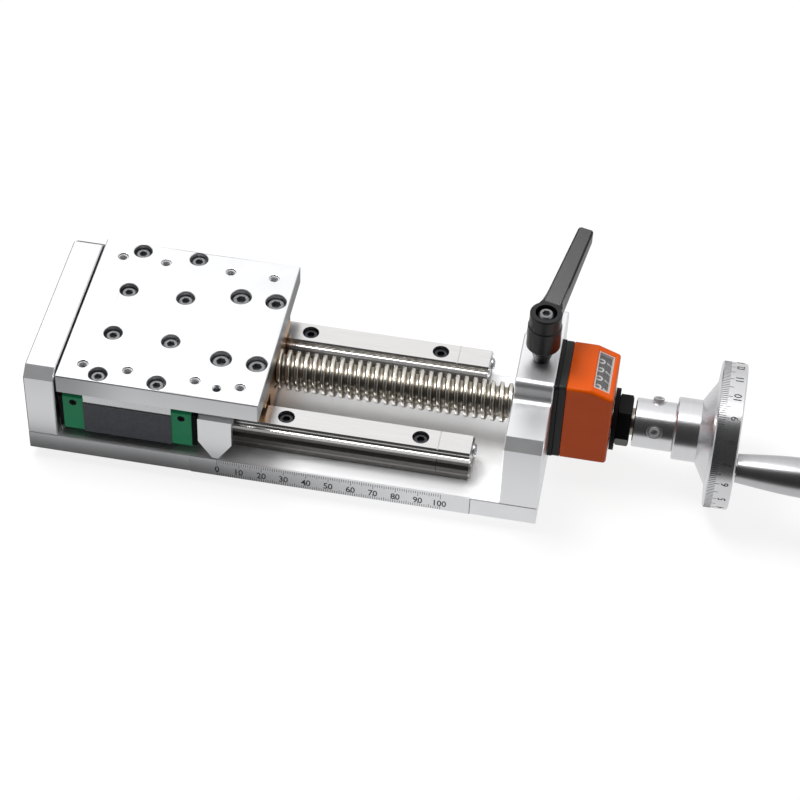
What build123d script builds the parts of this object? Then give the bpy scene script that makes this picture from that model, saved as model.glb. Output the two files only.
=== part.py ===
from build123d import *
from math import atan2, cos, radians, sin, tan
import os

# Manual cross slide module: a screw-driven table on two profile rails, with a
# handwheel, a position counter and a clamp lever. Millimetres.
# +X runs along the travel towards the handwheel, +Y to the back and +Z up. The origin
# is the middle of the base plate's bottom face. The table stands at the scale's zero.

# Base plate
base_length = 228.0
base_width = 90.0
base_thick = 10.0
base_edge = 0.3
scale_length = 125.0
scale_thick = 0.5
scale_lead = 12.0           # from the strip's left end to the zero mark
zero_shift = 0.8            # from the pointer's middle to the zero mark
mount_spacing_x = 170.0
mount_spacing_y = 60.0
mount_core = 5.0            # core of an M6 thread, cut from below
mount_depth = 8.0

# End blocks
block_height = 38.0
left_block_thick = 13.5
right_block_thick = 17.0
shoulder_chamfer_y = 5.0
shoulder_chamfer_z = 4.0
raise_height = 9.0
raise_half_width = 16.6
raise_fillet = 3.5
block_edge = 0.5
block_screw = 5.0
block_screw_length = 16.0
block_screw_y = 32.0
block_bore_depth = 5.5

# Drive screw and its bearings
screw_height = 16.6         # above the base plate's top face
screw_diameter = 18.0
screw_core = 13.5            # diameter at the bottom of the thread
screw_pitch = 4.0
screw_crest = 1.46           # width of the thread's crest
screw_flank = 15.0           # lean of the thread's flanks
screw_end_gap = 1.0
screw_shoulder = 14.0
journal = 12.0
journal_reach = 2.5         # past the left bearing
bearing_outer = 21.0
bearing_width = 5.0
bearing_ring = 1.3          # thickness of each ring
ball_diameter = 2.4
ball_gap = 0.05
ball_count = 8
web_bore = 17.0
spacer_diameter = 16.0
left_relief = 4.0

# Rails
rail_width = 15.0
rail_height = 15.0
rail_crown = 10.8           # width of the flat top
rail_groove_bottom = 12.4   # upper ball groove's lower end, above the rail's foot
rail_groove_dip = 0.45
rail_crown_edge = 0.65
rail_waist_width = 12.4
rail_waist_top = 10.9
rail_waist_bottom = 6.0
rail_waist_lean = 1.5
rail_foot_edge = 0.5
rail_length = 167.5
rail_left_gap = 0.5
rail_pitch = 60.0
rail_hole_count = 3
rail_last_hole = 8.4        # from the last hole to the rail's right end
rail_end_length = 15.0
rail_joint_edge = 0.25
rail_end_edge = 0.8
rail_bore = 7.5
rail_bore_depth = 5.3
rail_screw = 4.0
rail_screw_length = 16.0
end_screw = 3.0
end_screw_length = 8.0
end_screw_height = 12.0     # above the base plate's top face
end_screw_head = 6.0
end_screw_head_thick = 1.7

# Carriages
stack_height = 28.0         # from the base plate's top face to the table's underside
carriage_side_gap = 1.0     # to the table's side
carriage_screw_gap = 1.0    # to the drive screw
carriage_under = 4.3
carriage_inset = 0.3        # from the table's left end to the seals
carriage_nut_gap = 1.3      # from the seals to the drive nut
carriage_band = 6.0         # height of the ground band below the top face
carriage_band_inset = 0.6
carriage_edge = 0.5
carriage_cap = 9.1
carriage_seal = 1.9
carriage_hole_edge_x = 6.7  # from the body's end to its screws
carriage_hole_edge_y = 4.0
carriage_clearance = 0.35
cap_inset = 0.4
cap_top_drop = 2.4
cap_edge = 1.0
cap_clearance = 0.6
cap_port = 2.8
cap_port_depth = 2.5
cap_port_drop = 6.5
seal_inset = 0.8

# Table
table_length = 90.0
table_thick = 10.0
table_gap = 1.0             # to the left end block, at the scale's zero
table_edge = 0.4
outer_pattern = 70.0
inner_pattern = 30.0
table_core = 4.2            # core of an M5 thread
table_core_mouth = 5.5
mouth_angle = 120.0         # of the tapped holes' countersinks
carriage_screw = 4.0
carriage_screw_length = 10.0
table_bore = 8.4
table_bore_depth = 5.6
nut_screw = 5.0
nut_screw_length = 10.0
nut_bore = 9.5
nut_bore_depth = 6.7

# Drive nut
nut_length = 26.0
nut_inset = 1.0             # from the table's right end
nut_width = 54.0
nut_flange = 10.5
nut_body_width = 32.0
nut_bottom_gap = 3.0
nut_edge = 1.0
nut_screw_x = 16.0
nut_screw_y = 40.0
nut_thread_depth = 8.0

# Pointer
pointer_width = 15.0
pointer_side_gap = 1.0      # to the front carriage
pointer_thick = 3.0
pointer_inset = 0.5
pointer_gap = 0.3
pointer_shoulder = 10.0
pointer_tip = 2.4
pointer_top = 24.0
pointer_foot = 6.7
pointer_foot_thick = 7.0
pointer_screw = 3.0
pointer_screw_length = 14.0
pointer_screw_back = 6.5    # from the pointer's front face
pointer_hole_mouth = 4.3

# Position counter
counter_below = 14.2        # from the screw's axis to the counter's bottom
counter_above = 29.8
adapter_thick = 2.0
adapter_margin = 0.5
cover_thick = 3.3
housing_length = 20.8
housing_flat = 10.6
housing_drop = 4.1
housing_wall = 1.6
housing_round = 1.5
window_place = 15.0         # from the housing's left end to the window's middle
window_length = 7.6
window_margin = 0.8         # from the number wheels to the window's ends
window_frame = 0.55
window_thick = 1.4
window_recess = 0.2
lens_thick = 0.8
number_wheel = 14.0
number_wheel_pitch = 5.2
number_wheel_gap = 0.3
number_wheel_count = 4
number_wheel_dish = 0.6
number_wheel_rim = 1.2
number_wheel_depth = 9.2    # from the window's face to the number wheels' axis
number_wheel_pin = 3.0
ear_gap = 0.4
ear_thick = 2.0
ear_side_gap = 0.6          # to the housing's wall
ear_radius = 3.0
hollow_shaft = 17.0
counter_screw = 3.0
counter_screw_length = 11.0
counter_screw_y = 10.5
counter_screw_drop = 9.6

# Disc, nut and collar on the screw's end
disc_gap = 0.25
disc_thick = 2.05
disc_diameter = 27.6
hex_width = 20.5
hex_thick = 6.2
hex_chamfer = 1.2
collar_gap = 1.2
collar_length = 18.1
collar_diameter = 21.8
collar_edge = 0.5
spigot_diameter = 15.0
spigot_length = 18.0
set_screw = 5.0
set_screw_length = 5.0
set_screw_mouth = 1.0        # depth of the countersink over a set screw
set_screw_key = 2.5
set_screw_back = 9.5        # from the collar's left end
set_screw_angle = 152.7     # of the front one, from +Y towards +Z
set_screw_proud = 1.7       # of the top one, which is backed out

# Handwheel
hub_length = 10.6
hub_diameter = 27.8
hub_edge = 0.6
cone_length = 5.4
cone_diameter = 46.0
web_lean = 0.7
rim_diameter = 64.8
rim_width = 11.0
rim_edge = 0.6
dish_diameter = 34.0
dish_depth = 5.0
dish_round = 2.0
wheel_screw = 6.0
wheel_screw_length = 16.0
wheel_screw_head = 12.0
wheel_screw_head_thick = 3.5

# Handle
handle_radius = 24.7        # from the handwheel's axis
handle_angle = 166.4        # from +Y towards +Z
handle_gap = 0.7
handle_length = 52.0
handle_root = 12.6
handle_belly = 17.0
handle_belly_place = 24.0
handle_tail = 13.6
handle_tail_place = 47.0
handle_pin = 6.0
handle_thread = 9.0
handle_seat = 8.4
handle_seat_thick = 0.5
pin_head = 8.0
pin_head_thick = 3.0
pin_sink = 1.0              # below the grip's end
pin_slot = 1.2

# Clamp lever, with heights above the right block
lever_inset = 7.5           # from the right block's outer face to the lever's axis
lever_angle = 14.0          # from +Y towards +X
lever_length = 45.0
lever_hub = 14.0
lever_skirt = 14.8
lever_mouth = 10.8
lever_skirt_bottom = 6.4
lever_skirt_taper = 2.6
lever_skirt_top = 20.4
lever_step = 0.4
lever_top = 27.9
lever_top_edge = 0.5
lever_recess = 9.4
lever_recess_depth = 9.7
lever_floor = 2.5
lever_arm_root = 8.9
lever_arm_tip = 6.9
lever_arm_flare = 13.2
lever_arm_start = 9.5
lever_arm_blend = 30.0
lever_root_end = 16.0
lever_arm_under = 18.2
lever_tip_top = 40.0
lever_tip_thick = 6.2
lever_tip_round = 1.4
lever_arm_edge = 0.8
lever_stud = 6.0
lever_insert = 9.0
lever_neck = 7.0
lever_neck_top = 10.0
lever_neck_gap = 0.3
lever_screw = 4.0
lever_screw_head = 6.8
lever_screw_head_thick = 3.2
lever_screw_sink = 0.5
lever_screw_length = 15.0
lever_seat_gap = 0.1
spring_wire = 0.7
spring_turns = 3.0
spring_diameter = 6.8
pad_diameter = 4.0
pad_length = 6.0
pad_gap = 0.27

# Screws and fits
head_extra = 1.0            # a cap head's diameter past 1.5 threads
head_edge = 0.18             # a cap head's edge, as a share of its thread
drill_past = 1.0            # a drilled hole's depth past its screw
fit = 0.03                  # radial, between pieces that stay together
run = 0.05                  # radial, between pieces that turn or slide
slack = 0.05                # radial, a screw's shank in its thread
clear = 0.25                # radial, a screw's shank in its clearance hole
port = 0.3                  # radial, a shaft through a cover

# Places worked out from the sizes above
half_width = base_width / 2
left_x = -base_length / 2
right_x = base_length / 2
left_face = left_x + left_block_thick
right_face = right_x - right_block_thick
block_top = base_thick + block_height
raised_top = block_top + raise_height
axis_z = base_thick + screw_height
carriage_width = half_width - carriage_side_gap - screw_diameter / 2 - carriage_screw_gap
rail_y = half_width - carriage_side_gap - carriage_width / 2
rail_left = left_face + rail_left_gap
rail_right = rail_left + rail_length
rail_top = base_thick + rail_height
rail_holes = [rail_right - rail_last_hole - i * rail_pitch for i in range(rail_hole_count)]
table_width = base_width
table_left = left_face + table_gap
table_right = table_left + table_length
table_x = table_left + table_length / 2
table_bottom = base_thick + stack_height
table_top = table_bottom + table_thick
nut_x = table_right - nut_inset - nut_length / 2
carriage_left = table_left + carriage_inset
carriage_right = nut_x - nut_length / 2 - carriage_nut_gap
carriage_x = (carriage_left + carriage_right) / 2
carriage_thread = carriage_screw_length - table_thick + table_bore_depth + drill_past
carriage_body = carriage_right - carriage_left - 2 * (carriage_cap + carriage_seal)
carriage_pattern_x = carriage_body - 2 * carriage_hole_edge_x
carriage_pattern_y = carriage_width - 2 * carriage_hole_edge_y
pointer_x = carriage_right + pointer_side_gap + pointer_width / 2
scale_x = pointer_x + zero_shift - scale_lead + scale_length / 2
pointer_front = pointer_inset - half_width
pointer_screw_y = pointer_front + pointer_screw_back
drum_half = number_wheel_count * number_wheel_pitch / 2
window_width = 2 * (drum_half + window_margin)
counter_width = 2 * (drum_half + ear_gap + ear_thick + ear_side_gap + housing_wall)
adapter_x = right_x
cover_x = adapter_x + adapter_thick
housing_x = cover_x + cover_thick
housing_right = housing_x + housing_length
disc_x = housing_right + disc_gap
hex_x = disc_x + disc_thick
collar_x = hex_x + hex_thick + collar_gap
hub_x = collar_x + collar_length
cone_x = hub_x + hub_length
rim_x = cone_x + cone_length + web_lean
rim_right = rim_x + rim_width
shaft_end = hub_x + spigot_length
handle_x = rim_right + handle_gap
handle_y = handle_radius * cos(radians(handle_angle))
handle_z = axis_z + handle_radius * sin(radians(handle_angle))
lever_x = right_x - lever_inset
pad_bottom = axis_z + spacer_diameter / 2 + pad_gap
pad_top = pad_bottom + pad_length
block_middles = (left_x + left_block_thick / 2, right_x - right_block_thick / 2)

spindle_axis = Axis((0, 0, axis_z), (1, 0, 0))
spindle_plane = Plane(origin=(0, 0, axis_z), x_dir=(1, 0, 0), z_dir=(0, -1, 0))
handle_axis = Axis((0, handle_y, handle_z), (1, 0, 0))
handle_plane = Plane(origin=(handle_x, handle_y, handle_z), x_dir=(1, 0, 0), z_dir=(0, -1, 0))

os.makedirs("parts", exist_ok=True)


# A plane that looks along +X, with its own x along +Y and its own y along +Z.
def facing_x(x, y=0.0, z=0.0):
    return Plane(origin=(x, y, z), x_dir=(0, 1, 0), z_dir=(1, 0, 0))


# A plane that looks down, for work from below.
def facing_down(x, y, z):
    return Plane(origin=(x, y, z), x_dir=(1, 0, 0), z_dir=(0, 0, -1))


# The edges round a block's two end faces, without those that stand on the base plate.
def outline_edges(block):
    ends = block.faces().filter_by(Axis.X).edges()
    return ends.filter_by(lambda edge: edge.center().Z > base_thick + fit)


# A right half outline, from bottom to top, joined to its mirror image.
def both_sides(half):
    return half + [(-x, y) for x, y in reversed(half)]


# The diameter of a cap head on a thread.
def cap_head(thread):
    return 1.5 * thread + head_extra


# A hexagon socket screw that stands on z = 0, with its shank below.
def socket_screw(thread, length, head=None, head_thick=None):
    head = head or cap_head(thread)
    head_thick = head_thick or thread
    with BuildPart() as screw:
        with BuildSketch():
            Circle(head / 2)
        extrude(amount=head_thick)
        chamfer(screw.edges().sort_by(Axis.Z)[-1], head_edge * thread)
        with BuildSketch():
            Circle(thread / 2 - slack)
        extrude(amount=-length)
        with BuildSketch(Plane.XY.offset(head_thick)):
            RegularPolygon(0.4 * thread, 6, major_radius=False)
        extrude(amount=-head_thick / 2, mode=Mode.SUBTRACT)
    return screw.part


# A tube round the drive screw's axis.
def spindle_tube(start, length, outer, bore):
    with BuildPart() as tube:
        with BuildSketch(facing_x(start, 0, axis_z)):
            Circle(outer / 2)
            Circle(bore / 2, mode=Mode.SUBTRACT)
        extrude(amount=length)
    return tube.part


# BASE PLATE AND SCALE

with BuildPart() as base_plate:
    with BuildSketch():
        Rectangle(base_length, base_width)
    extrude(amount=base_thick)
    chamfer(base_plate.edges(), base_edge)
    with Locations(*[(x, y, base_thick) for x in rail_holes for y in (-rail_y, rail_y)]):
        Hole(rail_screw / 2, rail_screw_length - (rail_height - rail_bore_depth) + drill_past)
    with Locations(*[facing_down(x, 0, 0) for x in block_middles]):
        with GridLocations(1, 2 * block_screw_y, 1, 2):
            CounterBoreHole(block_screw / 2 + clear, cap_head(block_screw) / 2 + clear, block_bore_depth)
    with Locations(facing_down(0, 0, 0)):
        with GridLocations(mount_spacing_x, mount_spacing_y, 2, 2):
            Hole(mount_core / 2, mount_depth)
    with BuildSketch(Plane.XZ.offset(half_width)):
        with Locations((scale_x, base_thick / 2)):
            Rectangle(scale_length, base_thick)
    extrude(amount=-scale_thick, mode=Mode.SUBTRACT)
base_plate.part.label = "base_plate"
export_step(base_plate.part, "parts/base_plate.step")

with BuildPart() as travel_scale:
    with BuildSketch(Plane.XZ.offset(half_width)):
        with Locations((scale_x, base_thick / 2)):
            Rectangle(scale_length, base_thick)
    extrude(amount=-scale_thick)
travel_scale.part.label = "travel_scale"
export_step(travel_scale.part, "parts/travel_scale.step")

# END BLOCKS

shoulder = [
    (half_width, base_thick),
    (half_width, block_top - shoulder_chamfer_z),
    (half_width - shoulder_chamfer_y, block_top),
]
raised = [(raise_half_width, block_top), (raise_half_width, raised_top)]

with BuildPart() as left_end_block:
    with BuildSketch(facing_x(left_x)):
        with BuildLine():
            Polyline(both_sides(shoulder), close=True)
        make_face()
    extrude(amount=left_block_thick)
    chamfer(outline_edges(left_end_block), block_edge)
    with BuildSketch(facing_x(left_face, 0, axis_z)):
        Circle(bearing_outer / 2 + fit)
    extrude(amount=-bearing_width, mode=Mode.SUBTRACT)
    with BuildSketch(facing_x(left_face, 0, axis_z)):
        Circle(web_bore / 2)
    extrude(amount=-(bearing_width + left_relief), mode=Mode.SUBTRACT)
    with Locations(facing_down(block_middles[0], 0, base_thick)):
        with GridLocations(1, 2 * block_screw_y, 1, 2):
            Hole(block_screw / 2, block_screw_length - (base_thick - block_bore_depth) + drill_past)
left_end_block.part.label = "left_end_block"
export_step(left_end_block.part, "parts/left_end_block.step")

with BuildPart() as right_end_block:
    with BuildSketch(facing_x(right_face)) as right_profile:
        with BuildLine():
            Polyline(both_sides(shoulder + raised), close=True)
        make_face()
        corners = [v for v in right_profile.vertices() if abs(abs(v.X) - raise_half_width) < fit]
        fillet(corners, raise_fillet)
    extrude(amount=right_block_thick)
    chamfer(outline_edges(right_end_block), block_edge)
    with BuildSketch(facing_x(right_face, 0, axis_z)):
        Circle(web_bore / 2)
    extrude(amount=right_block_thick, mode=Mode.SUBTRACT)
    with BuildSketch(facing_x(right_face, 0, axis_z), facing_x(right_x - bearing_width, 0, axis_z)):
        Circle(bearing_outer / 2 + fit)
    extrude(amount=bearing_width, mode=Mode.SUBTRACT)
    with Locations((lever_x, 0, raised_top)):
        Hole(lever_stud / 2, raised_top - pad_top + drill_past)
        Hole(pad_diameter / 2 + run, raised_top - axis_z)
    with BuildSketch(facing_x(right_x, 0, axis_z - counter_screw_drop)):
        with GridLocations(2 * counter_screw_y, 1, 2, 1):
            Circle(counter_screw / 2)
    extrude(amount=-(counter_screw_length - adapter_thick - cover_thick + drill_past), mode=Mode.SUBTRACT)
    with Locations(facing_down(block_middles[1], 0, base_thick)):
        with GridLocations(1, 2 * block_screw_y, 1, 2):
            Hole(block_screw / 2, block_screw_length - (base_thick - block_bore_depth) + drill_past)
right_end_block.part.label = "right_end_block"
export_step(right_end_block.part, "parts/right_end_block.step")

base_screw = socket_screw(block_screw, block_screw_length)
with BuildPart() as end_block_screws:
    for x in block_middles:
        with Locations(facing_down(x, 0, block_bore_depth)):
            with GridLocations(1, 2 * block_screw_y, 1, 2):
                add(base_screw)
end_block_screws.part.label = "end_block_screws"
export_step(end_block_screws.part, "parts/end_block_screws.step")

# RAILS

with BuildSketch() as rail_section:
    with BuildLine():
        foot = Polyline(
            (0, 0),
            (rail_width / 2 - rail_foot_edge, 0),
            (rail_width / 2, rail_foot_edge),
            (rail_width / 2, rail_waist_bottom),
            (rail_waist_width / 2, rail_waist_bottom + rail_waist_lean),
            (rail_waist_width / 2, rail_waist_top - rail_waist_lean),
            (rail_width / 2, rail_waist_top),
            (rail_width / 2, rail_groove_bottom),
        )
        groove_top = (rail_crown / 2 + rail_crown_edge, rail_height - rail_crown_edge)
        groove_middle = (
            (rail_width / 2 + groove_top[0]) / 2 - rail_groove_dip,
            (groove_top[1] + rail_groove_bottom) / 2 - rail_groove_dip,
        )
        ThreePointArc(foot @ 1, groove_middle, groove_top)
        Line(groove_top, (rail_crown / 2, rail_height))
        Line((rail_crown / 2, rail_height), (0, rail_height))
        mirror(about=Plane.YZ)
    make_face()

for side, y in (("front", -rail_y), ("back", rail_y)):
    with BuildPart() as rail:
        with BuildSketch(facing_x(rail_left, y, base_thick)):
            add(rail_section.sketch)
        extrude(amount=rail_length)
        chamfer(rail.faces().sort_by(Axis.X)[-1].edges().filter_by(GeomType.LINE), rail_joint_edge)
        with Locations(*[(x, y, rail_top) for x in rail_holes]):
            CounterBoreHole(rail_screw / 2 + clear, rail_bore / 2, rail_bore_depth)
    rail.part.label = f"{side}_rail"
    export_step(rail.part, f"parts/{side}_rail.step")

    with BuildPart() as rail_end:
        with BuildSketch(facing_x(rail_right, y, base_thick)):
            add(rail_section.sketch)
        extrude(amount=rail_end_length)
        top_edges = rail_end.faces().sort_by(Axis.Z)[-1].edges().filter_by(Axis.Y).sort_by(Axis.X)
        chamfer(top_edges[0], rail_joint_edge)
        chamfer(rail_end.faces().sort_by(Axis.X)[-1].edges(), rail_end_edge)
        with BuildSketch(facing_x(rail_right + rail_end_length, y, base_thick + end_screw_height)):
            Circle(end_screw / 2)
        extrude(amount=-(end_screw_length + drill_past), mode=Mode.SUBTRACT)
    rail_end.part.label = f"{side}_rail_end_piece"
    export_step(rail_end.part, f"parts/{side}_rail_end_piece.step")

rail_cap_screw = socket_screw(rail_screw, rail_screw_length)
with BuildPart() as rail_screws:
    with Locations(*[(x, y, rail_top - rail_bore_depth) for x in rail_holes for y in (-rail_y, rail_y)]):
        add(rail_cap_screw)
rail_screws.part.label = "rail_screws"
export_step(rail_screws.part, "parts/rail_screws.step")

low_screw = socket_screw(end_screw, end_screw_length, end_screw_head, end_screw_head_thick)
with BuildPart() as rail_end_screws:
    for y in (-rail_y, rail_y):
        with Locations(facing_x(rail_right + rail_end_length, y, base_thick + end_screw_height)):
            add(low_screw)
rail_end_screws.part.label = "rail_end_screws"
export_step(rail_end_screws.part, "parts/rail_end_screws.step")

# BEARINGS

bearing_starts = [left_face - bearing_width, right_face, right_x - bearing_width]
ball_circle = (journal + bearing_outer) / 4
inner_ring = (journal / 2 + fit, journal / 2 + bearing_ring)
outer_ring = (bearing_outer / 2 - bearing_ring, bearing_outer / 2)
for label, (low, high) in (("bearing_inner_rings", inner_ring), ("bearing_outer_rings", outer_ring)):
    with BuildPart() as rings:
        with BuildSketch(spindle_plane):
            with Locations(*[(start + bearing_width / 2, (low + high) / 2) for start in bearing_starts]):
                Rectangle(bearing_width, high - low)
            with Locations(*[(start + bearing_width / 2, ball_circle) for start in bearing_starts]):
                Circle(ball_diameter / 2 + ball_gap, mode=Mode.SUBTRACT)
        revolve(axis=spindle_axis)
    rings.part.label = label
    export_step(rings.part, f"parts/{label}.step")

with BuildPart() as bearing_balls:
    for start in bearing_starts:
        with Locations(facing_x(start + bearing_width / 2, 0, axis_z)):
            with PolarLocations(ball_circle, ball_count):
                Sphere(ball_diameter / 2)
bearing_balls.part.label = "bearing_balls"
export_step(bearing_balls.part, "parts/bearing_balls.step")

# DRIVE SCREW AND WHAT IS CLAMPED ON IT



# The outline of one turn of the thread, from the middle of its crest to the next, as rings show it.
def thread_turn(x):
    return [
        (x + screw_crest / 2, screw_diameter / 2),
        (x + screw_crest / 2 + flank_run, screw_core / 2),
        (x + screw_pitch - screw_crest / 2 - flank_run, screw_core / 2),
        (x + screw_pitch - screw_crest / 2, screw_diameter / 2),
    ]


flank_run = (screw_diameter - screw_core) / 2 * tan(radians(screw_flank))
thread_left = left_face + screw_end_gap
thread_right = right_face - screw_end_gap
thread_turns = int((thread_right - thread_left - screw_pitch) / screw_pitch)
thread_crests = [thread_left + screw_pitch / 2 + turn * screw_pitch for turn in range(thread_turns)]
thread_line = [point for x in thread_crests for point in thread_turn(x)]

with BuildPart() as lead_screw:
    with BuildSketch(spindle_plane):
        with BuildLine():
            Polyline(
                (left_face - bearing_width - journal_reach, 0),
                (left_face - bearing_width - journal_reach, journal / 2),
                (left_face, journal / 2),
                (left_face, screw_shoulder / 2),
                (thread_left, screw_shoulder / 2),
                (thread_left, screw_diameter / 2),
                *thread_line,
                (thread_right, screw_diameter / 2),
                (thread_right, screw_shoulder / 2),
                (right_face, screw_shoulder / 2),
                (right_face, journal / 2),
                (shaft_end, journal / 2),
                (shaft_end, 0),
                close=True,
            )
        make_face()
    revolve(axis=spindle_axis)
    with BuildSketch(facing_x(shaft_end, 0, axis_z)):
        Circle(wheel_screw / 2)
    extrude(amount=-wheel_screw_length, mode=Mode.SUBTRACT)
lead_screw.part.label = "lead_screw"
export_step(lead_screw.part, "parts/lead_screw.step")

spacer_start = right_face + bearing_width
spacer_length = right_block_thick - 2 * bearing_width
spindle_spacer = spindle_tube(spacer_start, spacer_length, spacer_diameter, journal + 2 * fit)
spindle_spacer.label = "spindle_spacer"
export_step(spindle_spacer, "parts/spindle_spacer.step")

counter_hollow_shaft = spindle_tube(right_x, disc_x - right_x, hollow_shaft, journal + 2 * fit)
counter_hollow_shaft.label = "counter_hollow_shaft"
export_step(counter_hollow_shaft, "parts/counter_hollow_shaft.step")

counter_disc = spindle_tube(disc_x, disc_thick, disc_diameter, journal + 2 * fit)
counter_disc.label = "counter_disc"
export_step(counter_disc, "parts/counter_disc.step")

hex_corner = hex_width / 2 / cos(radians(30))
with BuildPart() as spindle_nut:
    with BuildSketch(facing_x(hex_x, 0, axis_z)):
        RegularPolygon(hex_width / 2, 6, major_radius=False)
        Circle(journal / 2 + fit, mode=Mode.SUBTRACT)
    extrude(amount=hex_thick)
    with BuildSketch(spindle_plane):
        with BuildLine():
            Polyline(
                (hex_x, 0),
                (hex_x, hex_width / 2),
                (hex_x + hex_chamfer / 2, hex_corner),
                (hex_x + hex_thick - hex_chamfer / 2, hex_corner),
                (hex_x + hex_thick, hex_width / 2),
                (hex_x + hex_thick, 0),
                close=True,
            )
        make_face()
    revolve(axis=spindle_axis, mode=Mode.INTERSECT)
spindle_nut.part.label = "spindle_nut"
export_step(spindle_nut.part, "parts/spindle_nut.step")


# A plane at a point of the collar's axis that looks out along one of its set screws.
def set_screw_plane(angle, radius=0.0):
    out = Vector(0, cos(radians(angle)), sin(radians(angle)))
    foot = Vector(collar_x + set_screw_back, 0, axis_z) + out * radius
    return Plane(origin=foot, x_dir=(1, 0, 0), z_dir=out)


set_screw_angles = (set_screw_angle, set_screw_angle - 90)
with BuildPart() as wheel_collar:
    with BuildSketch(spindle_plane):
        with BuildLine():
            Polyline(
                (collar_x, journal / 2 + fit),
                (collar_x, collar_diameter / 2 - collar_edge),
                (collar_x + collar_edge, collar_diameter / 2),
                (hub_x - collar_edge, collar_diameter / 2),
                (hub_x, collar_diameter / 2 - collar_edge),
                (hub_x, spigot_diameter / 2),
                (shaft_end, spigot_diameter / 2),
                (shaft_end, journal / 2 + fit),
                close=True,
            )
        make_face()
    revolve(axis=spindle_axis)
    for angle in set_screw_angles:
        with BuildSketch(set_screw_plane(angle)):
            Circle(set_screw / 2)
        extrude(amount=collar_diameter, mode=Mode.SUBTRACT)
        with BuildSketch(set_screw_plane(angle, collar_diameter / 2 - set_screw_mouth)):
            Circle(set_screw / 2)
        extrude(amount=set_screw_mouth, taper=-45, mode=Mode.SUBTRACT)
wheel_collar.part.label = "wheel_collar"
export_step(wheel_collar.part, "parts/wheel_collar.step")

with BuildPart() as collar_set_screws:
    for angle, reach in zip(set_screw_angles, (fit, set_screw_proud)):
        outer_end = max(collar_diameter / 2, journal / 2 + fit + set_screw_length) + reach
        with BuildSketch(set_screw_plane(angle, outer_end - set_screw_length)):
            Circle(set_screw / 2 - slack)
        extrude(amount=set_screw_length)
        with BuildSketch(set_screw_plane(angle, outer_end)):
            RegularPolygon(set_screw_key / 2, 6, major_radius=False)
        extrude(amount=-set_screw_length / 2, mode=Mode.SUBTRACT)
collar_set_screws.part.label = "collar_set_screws"
export_step(collar_set_screws.part, "parts/collar_set_screws.step")

# HANDWHEEL AND HANDLE

with BuildPart() as handwheel:
    with BuildSketch(spindle_plane) as wheel_section:
        with BuildLine():
            Polyline(
                (hub_x, spigot_diameter / 2 + fit),
                (hub_x, hub_diameter / 2 - hub_edge),
                (hub_x + hub_edge, hub_diameter / 2),
                (cone_x, hub_diameter / 2),
                (cone_x + cone_length, cone_diameter / 2),
                (rim_x, rim_diameter / 2 - rim_edge),
                (rim_x + rim_edge, rim_diameter / 2),
                (rim_right - rim_edge, rim_diameter / 2),
                (rim_right, rim_diameter / 2 - rim_edge),
                (rim_right, dish_diameter / 2),
                (rim_right - dish_depth, dish_diameter / 2),
                (rim_right - dish_depth, wheel_screw / 2 + clear),
                (shaft_end, wheel_screw / 2 + clear),
                (shaft_end, spigot_diameter / 2 + fit),
                close=True,
            )
        make_face()
        dish_floor = rim_right - dish_depth
        dish_corner = wheel_section.vertices().sort_by_distance((dish_floor, dish_diameter / 2))[0]
        fillet(dish_corner, dish_round)
    revolve(axis=spindle_axis)
    with BuildSketch(facing_x(rim_right, handle_y, handle_z)):
        Circle(handle_pin / 2)
    extrude(amount=-(handle_thread + drill_past), mode=Mode.SUBTRACT)
handwheel.part.label = "handwheel"
export_step(handwheel.part, "parts/handwheel.step")

washer_screw = socket_screw(wheel_screw, wheel_screw_length, wheel_screw_head, wheel_screw_head_thick)
with BuildPart() as handwheel_screw:
    with Locations(facing_x(rim_right - dish_depth, 0, axis_z)):
        add(washer_screw)
handwheel_screw.part.label = "handwheel_screw"
export_step(handwheel_screw.part, "parts/handwheel_screw.step")

pin_head_start = handle_length - pin_head_thick
with BuildPart() as handle_pivot:
    with BuildSketch(handle_plane):
        with BuildLine():
            Polyline(
                (-handle_gap - handle_thread, 0),
                (-handle_gap - handle_thread, handle_pin / 2 - slack),
                (-handle_gap, handle_pin / 2 - slack),
                (-handle_gap, handle_seat / 2),
                (-handle_gap + handle_seat_thick, handle_seat / 2),
                (-handle_gap + handle_seat_thick, handle_pin / 2 - run),
                (pin_head_start, handle_pin / 2 - run),
                (pin_head_start, pin_head / 2),
                (handle_length - pin_sink, pin_head / 2),
                (handle_length - pin_sink, 0),
                close=True,
            )
        make_face()
    revolve(axis=handle_axis)
    with BuildSketch(facing_x(handle_x + handle_length - pin_sink, handle_y, handle_z)):
        Rectangle(1.1 * pin_head, pin_slot)
    extrude(amount=-pin_slot, mode=Mode.SUBTRACT)
handle_pivot.part.label = "handle_pivot"
export_step(handle_pivot.part, "parts/handle_pivot.step")

with BuildPart() as handle_grip:
    with BuildSketch(handle_plane):
        with BuildLine():
            Polyline(
                (handle_length, pin_head / 2 + port),
                (pin_head_start - run, pin_head / 2 + port),
                (pin_head_start - run, handle_pin / 2),
                (0, handle_pin / 2),
                (0, handle_root / 2),
            )
            belly = Spline(
                (0, handle_root / 2),
                (handle_belly_place, handle_belly / 2),
                (handle_tail_place, handle_tail / 2),
                tangents=[(1, 0.1), (1, -0.28)],
            )
            RadiusArc(belly @ 1, (handle_length, pin_head / 2 + port), handle_length - handle_tail_place)
        make_face()
    revolve(axis=handle_axis)
handle_grip.part.label = "handle_grip"
export_step(handle_grip.part, "parts/handle_grip.step")

# CLAMP LEVER

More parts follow.
